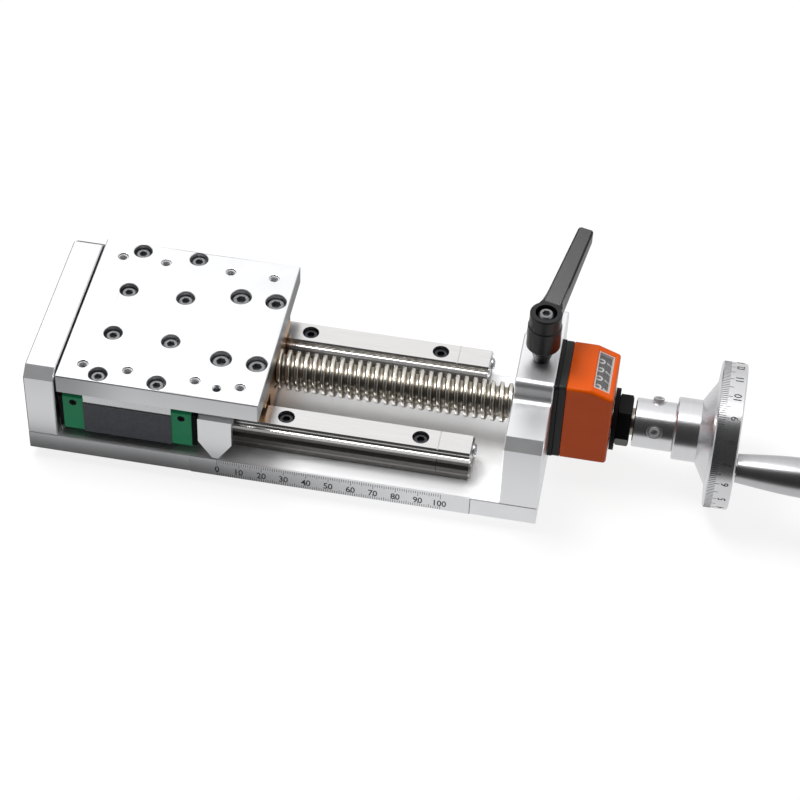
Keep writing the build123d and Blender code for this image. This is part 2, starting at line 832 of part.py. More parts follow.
lever_origin = (lever_x, 0, raised_top)
arm_way = (sin(radians(lever_angle)), cos(radians(lever_angle)), 0)
arm_side = (cos(radians(lever_angle)), -sin(radians(lever_angle)), 0)
arm_plan = Plane(origin=lever_origin, x_dir=arm_side, z_dir=(0, 0, 1))
arm_profile = Plane(origin=lever_origin, x_dir=arm_way, z_dir=arm_side)
lever_axis = Axis(lever_origin, (0, 0, 1))
recess_floor = lever_top - lever_recess_depth
insert_top = recess_floor - lever_floor - lever_seat_gap


# The arm's side view, lowered by a given amount at its top.
def arm_side_view(end, drop):
    rise = (lever_tip_top - lever_top + lever_top_edge) / (lever_length - lever_hub / 2)
    fall = (lever_tip_top - lever_tip_thick - lever_arm_under) / (lever_length - lever_hub / 2)
    reach = end - lever_hub / 2
    hub_top = lever_top - lever_top_edge - drop
    return [
        (0, lever_arm_under),
        (lever_hub / 2, lever_arm_under),
        (end, lever_arm_under + fall * reach),
        (end, hub_top + rise * reach),
        (lever_hub / 2, hub_top),
        (0, hub_top),
    ]


with BuildPart() as lever_root:
    with BuildSketch(arm_plan) as root_plan:
        with BuildLine():
            Polyline(
                both_sides([
                    (lever_arm_flare / 2, 0),
                    (lever_arm_root / 2 - 0.2, lever_arm_start),
                    (lever_arm_root / 2 - 0.45, lever_root_end),
                ]),
                close=True,
            )
        make_face()
        fillet(root_plan.vertices().group_by(Axis.Y)[1], lever_arm_blend)
    extrude(amount=lever_tip_top + 1)
    with BuildSketch(arm_profile):
        with BuildLine():
            Polyline(arm_side_view(lever_root_end, lever_arm_edge / 2), close=True)
        make_face()
    extrude(amount=lever_hub, both=True, mode=Mode.INTERSECT)

with BuildPart() as lever_handle:
    with BuildSketch(arm_plan) as arm_outline:
        with BuildLine():
            Polyline(both_sides([(lever_arm_root / 2, 0), (lever_arm_tip / 2, lever_length)]), close=True)
        make_face()
        fillet(arm_outline.vertices().group_by(Axis.Y)[-1], lever_tip_round)
    extrude(amount=lever_tip_top + 1)
    with BuildSketch(arm_profile):
        with BuildLine():
            Polyline(arm_side_view(lever_length, 0), close=True)
        make_face()
    extrude(amount=lever_hub, both=True, mode=Mode.INTERSECT)
    slope = lever_handle.faces().filter_by(lambda face: face.normal_at().Z > 0.5).sort_by(SortBy.AREA)[-1]
    chamfer(slope.edges().sort_by(Axis.Z)[1:], lever_arm_edge)
    add(lever_root.part)
    with BuildSketch(arm_profile):
        with BuildLine():
            Polyline(
                (0, lever_skirt_bottom),
                (lever_mouth / 2, lever_skirt_bottom),
                (lever_skirt / 2, lever_skirt_bottom + lever_skirt_taper),
                (lever_skirt / 2, lever_skirt_top),
                (lever_hub / 2, lever_skirt_top + lever_step),
                (lever_hub / 2, lever_top - lever_top_edge),
                (lever_hub / 2 - lever_top_edge, lever_top),
                (0, lever_top),
                close=True,
            )
        make_face()
    revolve(axis=lever_axis)
    with Locations((lever_x, 0, raised_top + lever_top)):
        CounterBoreHole(lever_screw / 2 + clear, lever_recess / 2, lever_recess_depth)
    with BuildSketch(Plane.XY.offset(raised_top + lever_skirt_bottom)):
        with Locations((lever_x, 0)):
            Circle(lever_insert / 2 + run)
    extrude(amount=insert_top + lever_seat_gap - lever_skirt_bottom, mode=Mode.SUBTRACT)
lever_handle.part.label = "lever_handle"
export_step(lever_handle.part, "parts/lever_handle.step")

with BuildPart() as clamp_stud:
    with BuildSketch(arm_profile):
        with BuildLine():
            Polyline(
                (0, pad_top + slack - raised_top),
                (lever_stud / 2 - slack, pad_top + slack - raised_top),
                (lever_stud / 2 - slack, lever_neck_gap),
                (lever_neck / 2, lever_neck_gap),
                (lever_neck_top / 2, lever_skirt_bottom - lever_seat_gap - 0.5),
                (lever_neck_top / 2, lever_skirt_bottom - lever_seat_gap),
                (lever_insert / 2, lever_skirt_bottom - lever_seat_gap),
                (lever_insert / 2, insert_top),
                (0, insert_top),
                close=True,
            )
        make_face()
    revolve(axis=lever_axis)
    with Locations((lever_x, 0, raised_top + insert_top)):
        Hole(lever_screw / 2, insert_top - lever_skirt_bottom)
clamp_stud.part.label = "clamp_stud"
export_step(clamp_stud.part, "parts/clamp_stud.step")

screw_seat = lever_top - lever_screw_sink - lever_screw_head_thick
top_screw = socket_screw(lever_screw, lever_screw_length, lever_screw_head, lever_screw_head_thick)
with BuildPart() as lever_cap_screw:
    with Locations((lever_x, 0, raised_top + screw_seat)):
        add(top_screw)
lever_cap_screw.part.label = "lever_cap_screw"
export_step(lever_cap_screw.part, "parts/lever_cap_screw.step")

spring_rise = screw_seat - recess_floor - spring_wire - 2 * slack
with BuildPart() as lever_spring:
    with BuildLine():
        coil = Helix(
            spring_rise / spring_turns,
            spring_rise,
            spring_diameter / 2,
            center=(lever_x, 0, raised_top + recess_floor + spring_wire / 2 + slack),
        )
    with BuildSketch(Plane(origin=coil @ 0, z_dir=coil % 0)):
        Circle(spring_wire / 2)
    sweep(is_frenet=True)
lever_spring.part.label = "lever_spring"
export_step(lever_spring.part, "parts/lever_spring.step")

with BuildPart() as clamp_pad:
    with BuildSketch(Plane.XY.offset(pad_bottom)):
        with Locations((lever_x, 0)):
            Circle(pad_diameter / 2)
    extrude(amount=pad_length)
clamp_pad.part.label = "clamp_pad"
export_step(clamp_pad.part, "parts/clamp_pad.step")

# TABLE

with BuildPart() as table_plate:
    with BuildSketch(Plane.XY.offset(table_bottom)):
        with Locations((table_x, 0)):
            Rectangle(table_length, table_width)
    extrude(amount=table_thick)
    chamfer(table_plate.edges(), table_edge)
    with Locations((carriage_x, -rail_y, table_top), (carriage_x, rail_y, table_top)):
        with GridLocations(carriage_pattern_x, carriage_pattern_y, 2, 2):
            CounterBoreHole(carriage_screw / 2 + clear, table_bore / 2, table_bore_depth)
    with Locations((nut_x, 0, table_top)):
        with GridLocations(nut_screw_x, nut_screw_y, 2, 2):
            CounterBoreHole(nut_screw / 2 + clear, nut_bore / 2, nut_bore_depth)
    with Locations((table_x, 0, table_top)):
        with GridLocations(outer_pattern, outer_pattern, 2, 2):
            CounterSinkHole(table_core / 2, table_core_mouth / 2, counter_sink_angle=mouth_angle)
        with GridLocations(inner_pattern, outer_pattern, 2, 2):
            CounterSinkHole(table_core / 2, table_core_mouth / 2, counter_sink_angle=mouth_angle)
    with Locations((pointer_x, pointer_screw_y, table_top)):
        CounterSinkHole(pointer_screw / 2, pointer_hole_mouth / 2)
table_plate.part.label = "table_plate"
export_step(table_plate.part, "parts/table_plate.step")

plate_screw = socket_screw(carriage_screw, carriage_screw_length)
with BuildPart() as table_screws:
    with Locations(*[(carriage_x, y, table_top - table_bore_depth) for y in (-rail_y, rail_y)]):
        with GridLocations(carriage_pattern_x, carriage_pattern_y, 2, 2):
            add(plate_screw)
table_screws.part.label = "table_screws"
export_step(table_screws.part, "parts/table_screws.step")

with BuildPart() as lead_nut:
    with BuildSketch(facing_x(nut_x - nut_length / 2)):
        with BuildLine():
            Polyline(
                both_sides([
                    (nut_body_width / 2, base_thick + nut_bottom_gap),
                    (nut_body_width / 2, table_bottom - nut_flange),
                    (nut_width / 2, table_bottom - nut_flange),
                    (nut_width / 2, table_bottom),
                ]),
                close=True,
            )
        make_face()
    extrude(amount=nut_length)
    chamfer(lead_nut.edges().filter_by(Axis.X), nut_edge)
    with BuildSketch(facing_x(nut_x - nut_length / 2, 0, axis_z)):
        Circle(screw_diameter / 2 + run)
    extrude(amount=nut_length, mode=Mode.SUBTRACT)
    with Locations((nut_x, 0, table_bottom)):
        with GridLocations(nut_screw_x, nut_screw_y, 2, 2):
            Hole(nut_screw / 2, nut_thread_depth)
lead_nut.part.label = "lead_nut"
export_step(lead_nut.part, "parts/lead_nut.step")

flange_screw = socket_screw(nut_screw, nut_screw_length)
with BuildPart() as nut_screws:
    with Locations((nut_x, 0, table_top - nut_bore_depth)):
        with GridLocations(nut_screw_x, nut_screw_y, 2, 2):
            add(flange_screw)
nut_screws.part.label = "nut_screws"
export_step(nut_screws.part, "parts/nut_screws.step")

pointer_face = Plane(origin=(pointer_x, pointer_front, base_thick), x_dir=(1, 0, 0), z_dir=(0, -1, 0))
with BuildPart() as pointer:
    with BuildSketch(facing_x(pointer_x - pointer_width / 2, pointer_front, base_thick)):
        with BuildLine():
            Polyline(
                (0, pointer_gap),
                (pointer_thick, pointer_gap),
                (pointer_thick, stack_height - pointer_foot_thick),
                (pointer_thick + pointer_foot, stack_height - pointer_foot_thick),
                (pointer_thick + pointer_foot, stack_height),
                (pointer_thick, stack_height),
                (pointer_thick, pointer_top),
                (0, pointer_top),
                close=True,
            )
        make_face()
    extrude(amount=pointer_width)
    with BuildSketch(pointer_face):
        with BuildLine():
            Polyline(
                both_sides([
                    (pointer_tip / 2, pointer_gap),
                    (pointer_width / 2, pointer_shoulder),
                    (pointer_width / 2, stack_height),
                ]),
                close=True,
            )
        make_face()
    extrude(amount=-(pointer_thick + pointer_foot), mode=Mode.INTERSECT)
    with Locations((pointer_x, pointer_screw_y, table_bottom)):
        Hole(pointer_screw / 2 + clear, pointer_foot_thick)
pointer.part.label = "pointer"
export_step(pointer.part, "parts/pointer.step")

small_screw = socket_screw(pointer_screw, pointer_screw_length)
with BuildPart() as pointer_cap_screw:
    with Locations(facing_down(pointer_x, pointer_screw_y, table_bottom - pointer_foot_thick)):
        add(small_screw)
pointer_cap_screw.part.label = "pointer_cap_screw"
export_step(pointer_cap_screw.part, "parts/pointer_cap_screw.step")

# CARRIAGES

body_half = carriage_width / 2
band_z = stack_height - carriage_band
body_outline = both_sides([
    (body_half - carriage_edge, carriage_under),
    (body_half, carriage_under + carriage_edge),
    (body_half, band_z),
    (body_half - carriage_band_inset, band_z + carriage_band_inset),
    (body_half - carriage_band_inset, stack_height),
])
cap_half = body_half - cap_inset
cap_outline = both_sides([
    (cap_half, carriage_under + cap_edge),
    (cap_half, stack_height - cap_top_drop - cap_edge),
    (cap_half - cap_edge, stack_height - cap_top_drop),
])
seal_half = body_half - seal_inset
seal_outline = both_sides([
    (seal_half, carriage_under + cap_edge + cap_inset),
    (seal_half, stack_height - cap_top_drop - cap_edge - cap_inset),
    (seal_half - cap_edge, stack_height - cap_top_drop - cap_inset),
])


# A slice of a carriage: an outline with the rail's section cut out of it.
def carriage_slice(start, length, y, outline, gap):
    with BuildPart() as piece:
        with BuildSketch(facing_x(start, y, base_thick)):
            with BuildLine():
                Polyline(outline, close=True)
            make_face()
            add(offset(rail_section.sketch, gap, mode=Mode.PRIVATE), mode=Mode.SUBTRACT)
        extrude(amount=length)
    return piece.part


for side, y in (("front", -rail_y), ("back", rail_y)):
    with BuildPart() as carriage:
        body_start = carriage_x - carriage_body / 2
        add(carriage_slice(body_start, carriage_body, y, body_outline, carriage_clearance))
        with Locations((carriage_x, y, table_bottom)):
            with GridLocations(carriage_pattern_x, carriage_pattern_y, 2, 2):
                Hole(carriage_screw / 2, carriage_thread)
    carriage.part.label = f"{side}_carriage"
    export_step(carriage.part, f"parts/{side}_carriage.step")

    for end, way in (("left", -1), ("right", 1)):
        cap_middle = carriage_x + way * (carriage_body + carriage_cap) / 2
        with BuildPart() as end_cap:
            add(carriage_slice(cap_middle - carriage_cap / 2, carriage_cap, y, cap_outline, cap_clearance))
            for face in (-1, 1):
                mouth = (cap_middle, y + face * cap_half, table_bottom - cap_port_drop)
                with BuildSketch(Plane(origin=mouth, x_dir=(1, 0, 0), z_dir=(0, face, 0))):
                    Circle(cap_port / 2)
                extrude(amount=-cap_port_depth, mode=Mode.SUBTRACT)
        end_cap.part.label = f"{side}_{end}_end_cap"
        export_step(end_cap.part, f"parts/{side}_{end}_end_cap.step")

        seal_middle = carriage_x + way * (carriage_body / 2 + carriage_cap + carriage_seal / 2)
        seal_start = seal_middle - carriage_seal / 2
        seal = carriage_slice(seal_start, carriage_seal, y, seal_outline, carriage_clearance)
        seal.label = f"{side}_{end}_seal"
        export_step(seal, f"parts/{side}_{end}_seal.step")

# POSITION COUNTER

counter_middle = (counter_above - counter_below) / 2
counter_height = counter_above + counter_below
slope_angle = atan2(housing_drop, housing_length - housing_flat)
window_z = axis_z + counter_above - (window_place - housing_flat) * tan(slope_angle)
window_plane = Plane(
    origin=(housing_x + window_place, 0, window_z),
    x_dir=(cos(slope_angle), 0, -sin(slope_angle)),
    z_dir=(sin(slope_angle), 0, cos(slope_angle)),
)
number_x = housing_x + window_place - number_wheel_depth * sin(slope_angle)
number_z = window_z - number_wheel_depth * cos(slope_angle)
ear_middle = drum_half + ear_gap + ear_thick / 2

with BuildPart() as counter_adapter_plate:
    with BuildSketch(facing_x(adapter_x, 0, axis_z)):
        with Locations((0, counter_middle)):
            RectangleRounded(counter_width + 2 * adapter_margin, counter_height, housing_round)
        Circle(hollow_shaft / 2 + port, mode=Mode.SUBTRACT)
        with Locations((0, -counter_screw_drop)):
            with GridLocations(2 * counter_screw_y, 1, 2, 1):
                Circle(counter_screw / 2 + clear, mode=Mode.SUBTRACT)
    extrude(amount=adapter_thick)
counter_adapter_plate.part.label = "counter_adapter_plate"
export_step(counter_adapter_plate.part, "parts/counter_adapter_plate.step")

with BuildPart() as counter_back_cover:
    with BuildSketch(facing_x(cover_x, 0, axis_z)):
        with Locations((0, counter_middle)):
            RectangleRounded(counter_width, counter_height, housing_round)
        Circle(hollow_shaft / 2 + port, mode=Mode.SUBTRACT)
        with Locations((0, -counter_screw_drop)):
            with GridLocations(2 * counter_screw_y, 1, 2, 1):
                Circle(counter_screw / 2 + clear, mode=Mode.SUBTRACT)
    extrude(amount=cover_thick)
    for way in (-1, 1):
        ear_plane = Plane(origin=(number_x, way * ear_middle, number_z), x_dir=(1, 0, 0), z_dir=(0, -1, 0))
        with BuildSketch(ear_plane):
            Circle(ear_radius)
            with Locations(((housing_x - number_x) / 2, 0)):
                Rectangle(number_x - housing_x, 2 * ear_radius)
            Circle(number_wheel_pin / 2 + fit, mode=Mode.SUBTRACT)
        extrude(amount=ear_thick / 2, both=True)
counter_back_cover.part.label = "counter_back_cover"
export_step(counter_back_cover.part, "parts/counter_back_cover.step")

housing_plane = Plane(origin=(housing_x, 0, axis_z), x_dir=(1, 0, 0), z_dir=(0, -1, 0))
inner_right = housing_length - housing_wall
wall_rise = housing_wall / cos(slope_angle)
inner_flat = housing_flat + (housing_wall - wall_rise) / tan(slope_angle)
inner_low = counter_above - (inner_right - housing_flat) * tan(slope_angle) - wall_rise
with BuildPart() as counter_housing:
    with BuildSketch(housing_plane):
        with BuildLine():
            Polyline(
                (0, -counter_below),
                (housing_length, -counter_below),
                (housing_length, counter_above - housing_drop),
                (housing_flat, counter_above),
                (0, counter_above),
                close=True,
            )
        make_face()
    extrude(amount=counter_width / 2, both=True)
    fillet(counter_housing.edges().filter_by(lambda edge: edge.center().X > housing_x + fit), housing_round)
    with BuildSketch(housing_plane):
        with BuildLine():
            Polyline(
                (0, housing_wall - counter_below),
                (inner_right, housing_wall - counter_below),
                (inner_right, inner_low),
                (inner_flat, counter_above - housing_wall),
                (0, counter_above - housing_wall),
                close=True,
            )
        make_face()
    extrude(amount=counter_width / 2 - housing_wall, both=True, mode=Mode.SUBTRACT)
    with BuildSketch(facing_x(housing_right, 0, axis_z)):
        Circle(hollow_shaft / 2 + port)
    extrude(amount=-2 * housing_wall, mode=Mode.SUBTRACT)
    with BuildSketch(window_plane):
        Rectangle(window_length, window_width)
    extrude(amount=-2 * housing_wall, mode=Mode.SUBTRACT)
counter_housing.part.label = "counter_housing"
export_step(counter_housing.part, "parts/counter_housing.step")

with BuildPart() as counter_window_frame:
    with BuildSketch(window_plane.offset(-window_recess)):
        Rectangle(window_length - 2 * fit, window_width - 2 * fit)
        Rectangle(window_length - 2 * window_frame, window_width - 2 * window_frame, mode=Mode.SUBTRACT)
    extrude(amount=-window_thick)
counter_window_frame.part.label = "counter_window_frame"
export_step(counter_window_frame.part, "parts/counter_window_frame.step")

with BuildPart() as counter_window:
    with BuildSketch(window_plane.offset(-window_recess)):
        Rectangle(window_length - 2 * window_frame - 2 * fit, window_width - 2 * window_frame - 2 * fit)
    extrude(amount=-lens_thick)
counter_window.part.label = "counter_window"
export_step(counter_window.part, "parts/counter_window.step")

cover_screw = socket_screw(counter_screw, counter_screw_length)
with BuildPart() as counter_screws:
    with Locations(facing_x(housing_x, 0, axis_z - counter_screw_drop)):
        with GridLocations(2 * counter_screw_y, 1, 2, 1):
            add(cover_screw)
counter_screws.part.label = "counter_screws"
export_step(counter_screws.part, "parts/counter_screws.step")

number_plane = Plane(origin=(number_x, 0, number_z), x_dir=(1, 0, 0), z_dir=(0, -1, 0))
with BuildPart() as number_wheel_shaft:
    with BuildSketch(number_plane):
        Circle(number_wheel_pin / 2)
    extrude(amount=ear_middle + ear_thick / 2, both=True)
number_wheel_shaft.part.label = "number_wheel_shaft"
export_step(number_wheel_shaft.part, "parts/number_wheel_shaft.step")

number_names = ("hundreds", "tens", "units", "tenths")
wheel_width = number_wheel_pitch - number_wheel_gap
for place, number_name in enumerate(number_names):
    wheel_y = (place - (number_wheel_count - 1) / 2) * number_wheel_pitch
    with BuildPart() as number_drum:
        with BuildSketch(number_plane.offset(-wheel_y)):
            Circle(number_wheel / 2)
            Circle(number_wheel_pin / 2 + run, mode=Mode.SUBTRACT)
        extrude(amount=wheel_width / 2, both=True)
        with BuildSketch(number_plane.offset(wheel_width / 2 - wheel_y)):
            Circle(number_wheel / 2 - number_wheel_rim)
            Circle(number_wheel_pin, mode=Mode.SUBTRACT)
        extrude(amount=-number_wheel_dish, mode=Mode.SUBTRACT)
    number_drum.part.label = f"number_wheel_{number_name}"
    export_step(number_drum.part, f"parts/number_wheel_{number_name}.step")
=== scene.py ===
from math import cos, hypot, pi, radians, sin

import bpy
from mathutils import Matrix, Vector

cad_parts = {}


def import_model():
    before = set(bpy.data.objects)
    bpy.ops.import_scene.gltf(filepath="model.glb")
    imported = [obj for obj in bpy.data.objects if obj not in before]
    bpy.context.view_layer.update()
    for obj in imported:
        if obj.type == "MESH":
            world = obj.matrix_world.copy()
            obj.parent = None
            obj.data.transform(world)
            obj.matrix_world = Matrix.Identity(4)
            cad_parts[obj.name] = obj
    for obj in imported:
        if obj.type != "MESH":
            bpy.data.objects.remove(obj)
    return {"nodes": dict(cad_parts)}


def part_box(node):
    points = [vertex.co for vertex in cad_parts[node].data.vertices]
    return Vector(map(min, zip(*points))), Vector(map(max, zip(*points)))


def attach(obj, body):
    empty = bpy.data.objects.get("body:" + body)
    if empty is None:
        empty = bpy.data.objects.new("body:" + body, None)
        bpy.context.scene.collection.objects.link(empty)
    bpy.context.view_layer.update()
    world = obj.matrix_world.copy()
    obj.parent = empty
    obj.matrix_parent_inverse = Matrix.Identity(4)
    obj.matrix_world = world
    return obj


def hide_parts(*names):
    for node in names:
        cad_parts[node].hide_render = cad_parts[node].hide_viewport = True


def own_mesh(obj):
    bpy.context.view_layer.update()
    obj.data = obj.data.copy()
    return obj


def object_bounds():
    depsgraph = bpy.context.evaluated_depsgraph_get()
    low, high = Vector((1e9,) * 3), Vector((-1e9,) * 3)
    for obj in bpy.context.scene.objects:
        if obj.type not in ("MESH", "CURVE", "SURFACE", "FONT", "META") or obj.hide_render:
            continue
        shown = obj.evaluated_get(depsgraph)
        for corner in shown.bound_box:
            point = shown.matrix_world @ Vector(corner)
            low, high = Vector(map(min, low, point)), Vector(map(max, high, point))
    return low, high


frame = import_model()
cad_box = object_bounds()

MM = 0.001

# Places and sizes of the slide, in millimetres
AXIS_Z = 26.6
SCREW_RADIUS = 9.0
BASE_FRONT = -45.0
BASE_TOP = 10.0
SCALE_ZERO = -28.5
RIM_LEFT = 184.6
RIM_RADIUS = 32.4
LEVER_X = 106.5
WHEEL_AXIS_X = 130.869
WHEEL_AXIS_Z = 46.095
WHEEL_RADIUS = 7.0
WHEEL_PITCH = 5.2
FIRST_DIGIT = 11.0
STRIP_END = 113.0
TABLE_X = -54.5
TABLE_RIGHT = TABLE_X + 45.0
TABLE_TOP = 48.0
CARRIAGE_BAND = 32.0
GRIP_Y = -24.007
GRIP_Z = 32.408
WHEELS = ("hundreds", "tens", "units", "tenths")


# One value that runs through a material's nodes, so that maths on it is written as maths.
class Value:
    def __init__(self, finish, socket):
        self.finish = finish
        self.socket = socket

    def output(self, name):
        return Value(self.finish, self.socket.node.outputs[name])

    def __add__(self, other):
        return self.finish.maths("ADD", self, other)

    def __sub__(self, other):
        return self.finish.maths("SUBTRACT", self, other)

    def __mul__(self, other):
        return self.finish.maths("MULTIPLY", self, other)

    def __truediv__(self, other):
        return self.finish.maths("DIVIDE", self, other)

    def __pow__(self, other):
        return self.finish.maths("POWER", self, other)

    def __rsub__(self, other):
        return self.finish.maths("SUBTRACT", other, self)

    __radd__ = __add__
    __rmul__ = __mul__

    def greater(self, other):
        return self.finish.maths("MAXIMUM", self, other)

    # From 0 to 1 as this value goes from low to high.
    def rise(self, low, high):
        return self.finish.node(
            "ShaderNodeMapRange",
            {"interpolation_type": "SMOOTHSTEP"},
            {"Value": self, "From Min": low, "From Max": high},
        )

    # 1 between low and high, fading to 0 over the soft width on both sides.
    def band(self, low, high, soft):
        return self.rise(low - soft, low) * (1 - self.rise(high, high + soft))


# A shade as a paint chart gives it, turned into the renderer's linear colour.
def shade(red, green, blue):
    parts = [c / 255 for c in (red, green, blue)]
    return [c / 12.92 if c <= 0.04045 else ((c + 0.055) / 1.055) ** 2.4 for c in parts] + [1.0]


# The darker and lighter shade of the finishes that share them.
ALUMINIUM = (shade(229, 230, 233), shade(243, 243, 244))
CHARCOAL = (shade(12, 12, 13), shade(22, 22, 24))


# The nodes of a material or of the sky.
class Shading:
    def __init__(self, tree):
        self.tree = tree

    # Any node: its settings first, then its sockets.
    def node(self, kind, settings, sockets):
        made = self.tree.nodes.new(kind)
        for name, setting in settings.items():
            setattr(made, name, setting)
        for socket, value in sockets.items():
            self.plug(made.inputs[socket], value)
        return Value(self, made.outputs[0])

    def plug(self, socket, value):
        if isinstance(value, Value):
            self.tree.links.new(value.socket, socket)
        else:
            socket.default_value = value

    def maths(self, operation, first, second=0.0):
        return self.node("ShaderNodeMath", {"operation": operation}, {0: first, 1: second})

    def mix(self, share, colour_a, colour_b):
        sockets = {0: share, 6: colour_a, 7: colour_b}
        made = self.node("ShaderNodeMix", {"data_type": "RGBA"}, sockets)
        return Value(self, made.socket.node.outputs[2])


# A material and its one shader, with the patterns that the slide's finishes share.
class Finish(Shading):
    def __init__(self, name, **constants):
        self.material = bpy.data.materials.new(name)
        self.material.use_nodes = True
        super().__init__(self.material.node_tree)
        self.shader = self.tree.nodes["Principled BSDF"]
        for socket, value in constants.items():
            self.set(socket.replace("_", " "), value)
        self.place = self.node("ShaderNodeTexCoord", {}, {}).output("Object")
        self.x = self.node("ShaderNodeSeparateXYZ", {}, {0: self.place}).output("X")
        self.y = self.x.output("Y")
        self.z = self.x.output("Z")

    def set(self, socket, value):
        self.plug(self.shader.inputs[socket], value)

    # Cloudy noise about 0.5, with grains of the given sizes in millimetres along X, Y and Z.
    def noise(self, along_x, along_y, along_z, detail=2.0):
        sizes = Vector((1 / along_x, 1 / along_y, 1 / along_z)) / MM
        stretch = {0: self.place, 1: sizes}
        stretched = self.node("ShaderNodeVectorMath", {"operation": "MULTIPLY"}, stretch)
        return self.grain(stretched, detail)

    def grain(self, place, detail):
        return self.node("ShaderNodeTexNoise", {}, {"Vector": place, "Scale": 1.0, "Detail": detail})

    # Noise that runs round the spindle's axis, as a lathe tool leaves it.
    def turned(self, pitch, across, y=0.0, z=AXIS_Z):
        radius = self.radius(y, z)
        sockets = {0: self.x / (pitch * MM), 1: radius / (across * MM)}
        return self.grain(self.node("ShaderNodeCombineXYZ", {}, sockets), 2.0)

    # Distance from an axis that runs along X.
    def radius(self, y=0.0, z=AXIS_Z):
        dy = self.y - y * MM
        dz = self.z - z * MM
        return (dy * dy + dz * dz) ** 0.5

    def bump(self, height, depth, strength=1.0):
        normal = self.node(
            "ShaderNodeBump", {}, {"Strength": strength, "Distance": depth * MM, "Height": height}
        )
        self.set("Normal", normal)


# FINISHES


# Anodised aluminium, less of a mirror on tops at or over the given height.
def anodised(name, gloss, top=None):
    finish = Finish(name, Metallic=1.0)
    cloud = finish.noise(14, 14, 14, 3)
    grain = finish.noise(0.35, 0.35, 0.35)
    tone = cloud * 0.5 + grain * 0.5
    finish.set("Base Color", finish.mix(tone, *ALUMINIUM))
    if top:
        finish.set("Metallic", 1 - 0.12 * finish.z.rise((top - 0.3) * MM, (top - 0.1) * MM))
    finish.set("Roughness", gloss + 0.08 * tone)
    finish.bump(grain, 0.02, 0.25)
    return finish


# The table plate, with its milled sides painted darker towards and on its left end and on its right
# end face, a painted shade.
def milled():
    finish = Finish("milled aluminium with painted shade", Metallic=1.0)
    cloud = finish.noise(14, 14, 14, 3)
    grain = finish.noise(0.35, 0.35, 0.35)
    tone = cloud * 0.5 + grain * 0.5
    corner = (TABLE_RIGHT - 0.7) * MM
    # Painted shade: the sides darken towards the plate's left end and on its right end face.
    ends = finish.x.band(-62 * MM, corner, 36 * MM) * (1 - finish.x.rise(corner, corner + 0.4 * MM))
    shaded_side_colour = finish.mix(tone, shade(164, 165, 167), shade(182, 182, 183))
    side = finish.mix(ends, shaded_side_colour, shade(228, 229, 231))
    top = finish.z.rise((TABLE_TOP - 0.3) * MM, (TABLE_TOP - 0.1) * MM)
    light = finish.mix(tone, *ALUMINIUM)
    finish.set("Base Color", finish.mix(top, side, light))
    finish.set("Roughness", 0.32 + 0.08 * tone)
    finish.bump(grain, 0.02, 0.25)
    return finish


# The base plate: its top is blasted, so less of a mirror than its milled sides.
def blasted():
    finish = Finish("blasted aluminium")
    cloud = finish.noise(14, 14, 14, 3)
    grain = finish.noise(0.35, 0.35, 0.35)
    top = finish.z.rise((BASE_TOP - 0.4) * MM, (BASE_TOP - 0.2) * MM)
    side = finish.mix(cloud, *ALUMINIUM)
    light = finish.mix(cloud, shade(244, 244, 246), shade(252, 252, 252))
    finish.set("Base Color", finish.mix(top, side, light))
    finish.set("Metallic", 1 - 0.12 * top)
    finish.set("Roughness", 0.34 + 0.06 * top + 0.08 * grain)
    finish.bump(grain, 0.02, 0.25)
    return finish


def scale_aluminium():
    finish = Finish("scale aluminium", Metallic=1.0)
    brushed = finish.noise(9, 0.2, 0.12)
    finish.set("Base Color", finish.mix(brushed, shade(222, 223, 226), shade(243, 243, 244)))
    finish.set("Roughness", 0.30 + 0.12 * brushed)
    finish.bump(brushed, 0.01, 0.3)
    return finish


def ground_steel():
    finish = Finish("ground steel", Metallic=1.0)
    cloud = finish.noise(5, 5, 5, 3)
    fine = finish.turned(0.2, 0.5)
    tone = cloud * 0.6 + fine * 0.4
    finish.set("Base Color", finish.mix(tone, shade(200, 197, 191), shade(228, 225, 219)))
    finish.set("Roughness", 0.11 + 0.07 * fine)
    return finish


# The drive screw's thread: crests painted lighter, a painted highlight, and flanks and roots painted
# darker, a painted shade.
def thread_steel():
    finish = Finish("thread steel with painted highlight and shade", Metallic=1.0)
    cloud = finish.noise(3, 3, 3, 3)
    crest = finish.radius().rise((SCREW_RADIUS - 0.45) * MM, (SCREW_RADIUS - 0.2) * MM)
    # Painted shade on the flanks and roots, painted highlight on the crests.
    shaded_flank_colour = finish.mix(cloud, shade(140, 134, 124), shade(176, 169, 157))
    ground = finish.mix(cloud, shade(208, 203, 194), shade(232, 228, 219))
    finish.set("Base Color", finish.mix(crest, shaded_flank_colour, ground))
    finish.set("Roughness", 0.27 - 0.08 * crest + 0.08 * cloud)
    return finish


# Rail steel: a light ground top over duller flanks, whose dark colour also paints in the dark they
# reflect.
def rail_steel():
    finish = Finish("rail steel", Metallic=1.0)
    ground = finish.noise(18, 0.12, 0.12)
    mill = finish.noise(2.5, 1.2, 1.2, 4)
    bright = finish.z.rise(19.2 * MM, 19.6 * MM)
    # Painted highlight: a lighter line along the flank where the waist meets the foot.
    line = finish.z.band(12.9 * MM, 13.3 * MM, 0.5 * MM)
    light = finish.mix(ground, shade(216, 215, 214), shade(242, 241, 240))
    dark = finish.mix(mill, shade(110, 108, 106), shade(140, 138, 135))
    dark = finish.mix(line, dark, shade(170, 168, 164))
    finish.set("Base Color", finish.mix(bright, dark, light))
    finish.set("Roughness", 0.36 - 0.20 * bright + 0.10 * ground)
    finish.bump(ground, 0.006, 0.3)
    return finish


